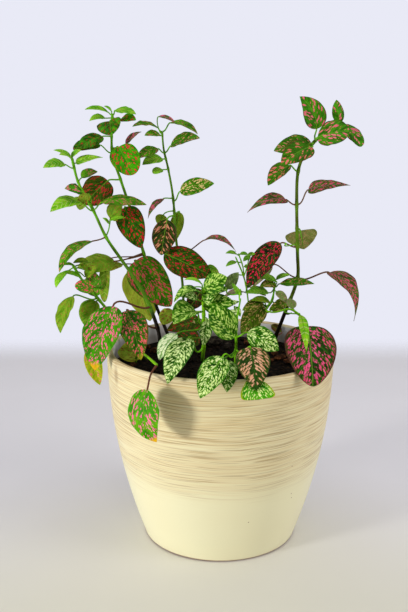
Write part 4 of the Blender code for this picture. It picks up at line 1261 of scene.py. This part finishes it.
makeStems()
makeFoliage()


studio = {
    "table": "#F2F2FC", "tableBounce": "#DEDED2", "wall": "#E9EAF6", "tableEnd": 490 * mm,
    "tableFade": 110 * mm, "tableReach": 1.6, "bounceFrom": 0.10, "bounceTo": -0.16,
    "ambient": "#FFF8E8", "ambientStrength": 0.26, "lampAim": (0, 0, 0.15),
}

# Each lamp: how far round to the left it stands, its rise, distance, size, power and colour.
lamps = {
    "key": (56.5, 4, 1.2, 0.2, 10.5, "#FFFBF2"),
    "right": (-68, 16, 1.2, 0.6, 6.5, "#FFFAF2"),
    "top": (0, 88, 1.3, 1.6, 9.5, "#F2F4FF"),
}


def tableMaterial():
    material, shader, add = newMaterial("paleMattTable")
    # Matt white laminate under soft light: no grain to see, and a shade warmer near the pot, which
    # is painted bounce light from the cream pot.
    place = add("TexCoord").outputs["Object"]
    y = add("SeparateXYZ", [place]).outputs["Y"]
    # painted bounce light: the table turns warmer towards the front
    bounce = add("MapRange", [y, studio["bounceFrom"], studio["bounceTo"]],
               interpolation_type="SMOOTHSTEP")
    tone = add("Mix", {0: bounce, 6: srgb(studio["table"]), 7: srgb(studio["tableBounce"])},
               data_type="RGBA")
    cloud = add("TexNoise", {"Vector": place, "Scale": 9.0, "Detail": 2.0})
    shade = add("MapRange", [cloud, 0.3, 0.7, 0.985, 1.015])
    shaded = add("VectorMath", {0: tone, "Scale": shade}, operation="SCALE")
    # the far edge melts into the bright room behind it
    solid = add("MapRange", [y, studio["tableEnd"] - 1 * mm,
                             studio["tableEnd"] - studio["tableFade"]],
                interpolation_type="SMOOTHSTEP")
    setInputs(shader, {"Base Color": shaded, "Roughness": 0.6, "Alpha": solid})
    return material


def areaLight(name, turn, rise, away, size, power, colour):
    angle, lift = radians(turn), radians(rise)
    aim = Vector(studio["lampAim"])
    spot = aim + away * Vector((-sin(angle) * cos(lift), -cos(angle) * cos(lift), sin(lift)))
    bpy.ops.object.light_add(type="AREA", location=spot,
                             rotation=(spot - aim).to_track_quat("Z", "Y").to_euler())
    lamp = bpy.context.object
    lamp.name = name
    lamp.data.size = size
    lamp.data.energy = power
    lamp.data.color = srgb(colour)[:3]


def makeStudio():
    deselectAll()
    bpy.ops.mesh.primitive_grid_add(x_subdivisions=4, y_subdivisions=4, size=2)
    table = bpy.context.object
    table.name = "table_top"
    reach, end = studio["tableReach"], studio["tableEnd"]
    table.scale = (reach, (reach + end) / 2, 1)
    table.location = (0, (end - reach) / 2, 0)
    bpy.ops.object.transform_apply()
    table.data.materials.append(tableMaterial())
    for name, settings in lamps.items():
        areaLight(name, *settings)
    world = bpy.data.worlds.new("softRoom")
    bpy.context.scene.world = world
    world.use_nodes = True
    world.node_tree.nodes.clear()
    add = partial(addNode, world.node_tree)
    glow = add("Background", [srgb(studio["ambient"]), studio["ambientStrength"]])
    wall = add("Background", [srgb(studio["wall"]), 1.0])
    seen = add("LightPath").outputs["Is Camera Ray"]
    mixed = add("MixShader", [seen, glow, wall])
    add("OutputWorld", [mixed])
    bpy.context.scene.view_settings.view_transform = "Standard"
    print("studio made")


makeStudio()
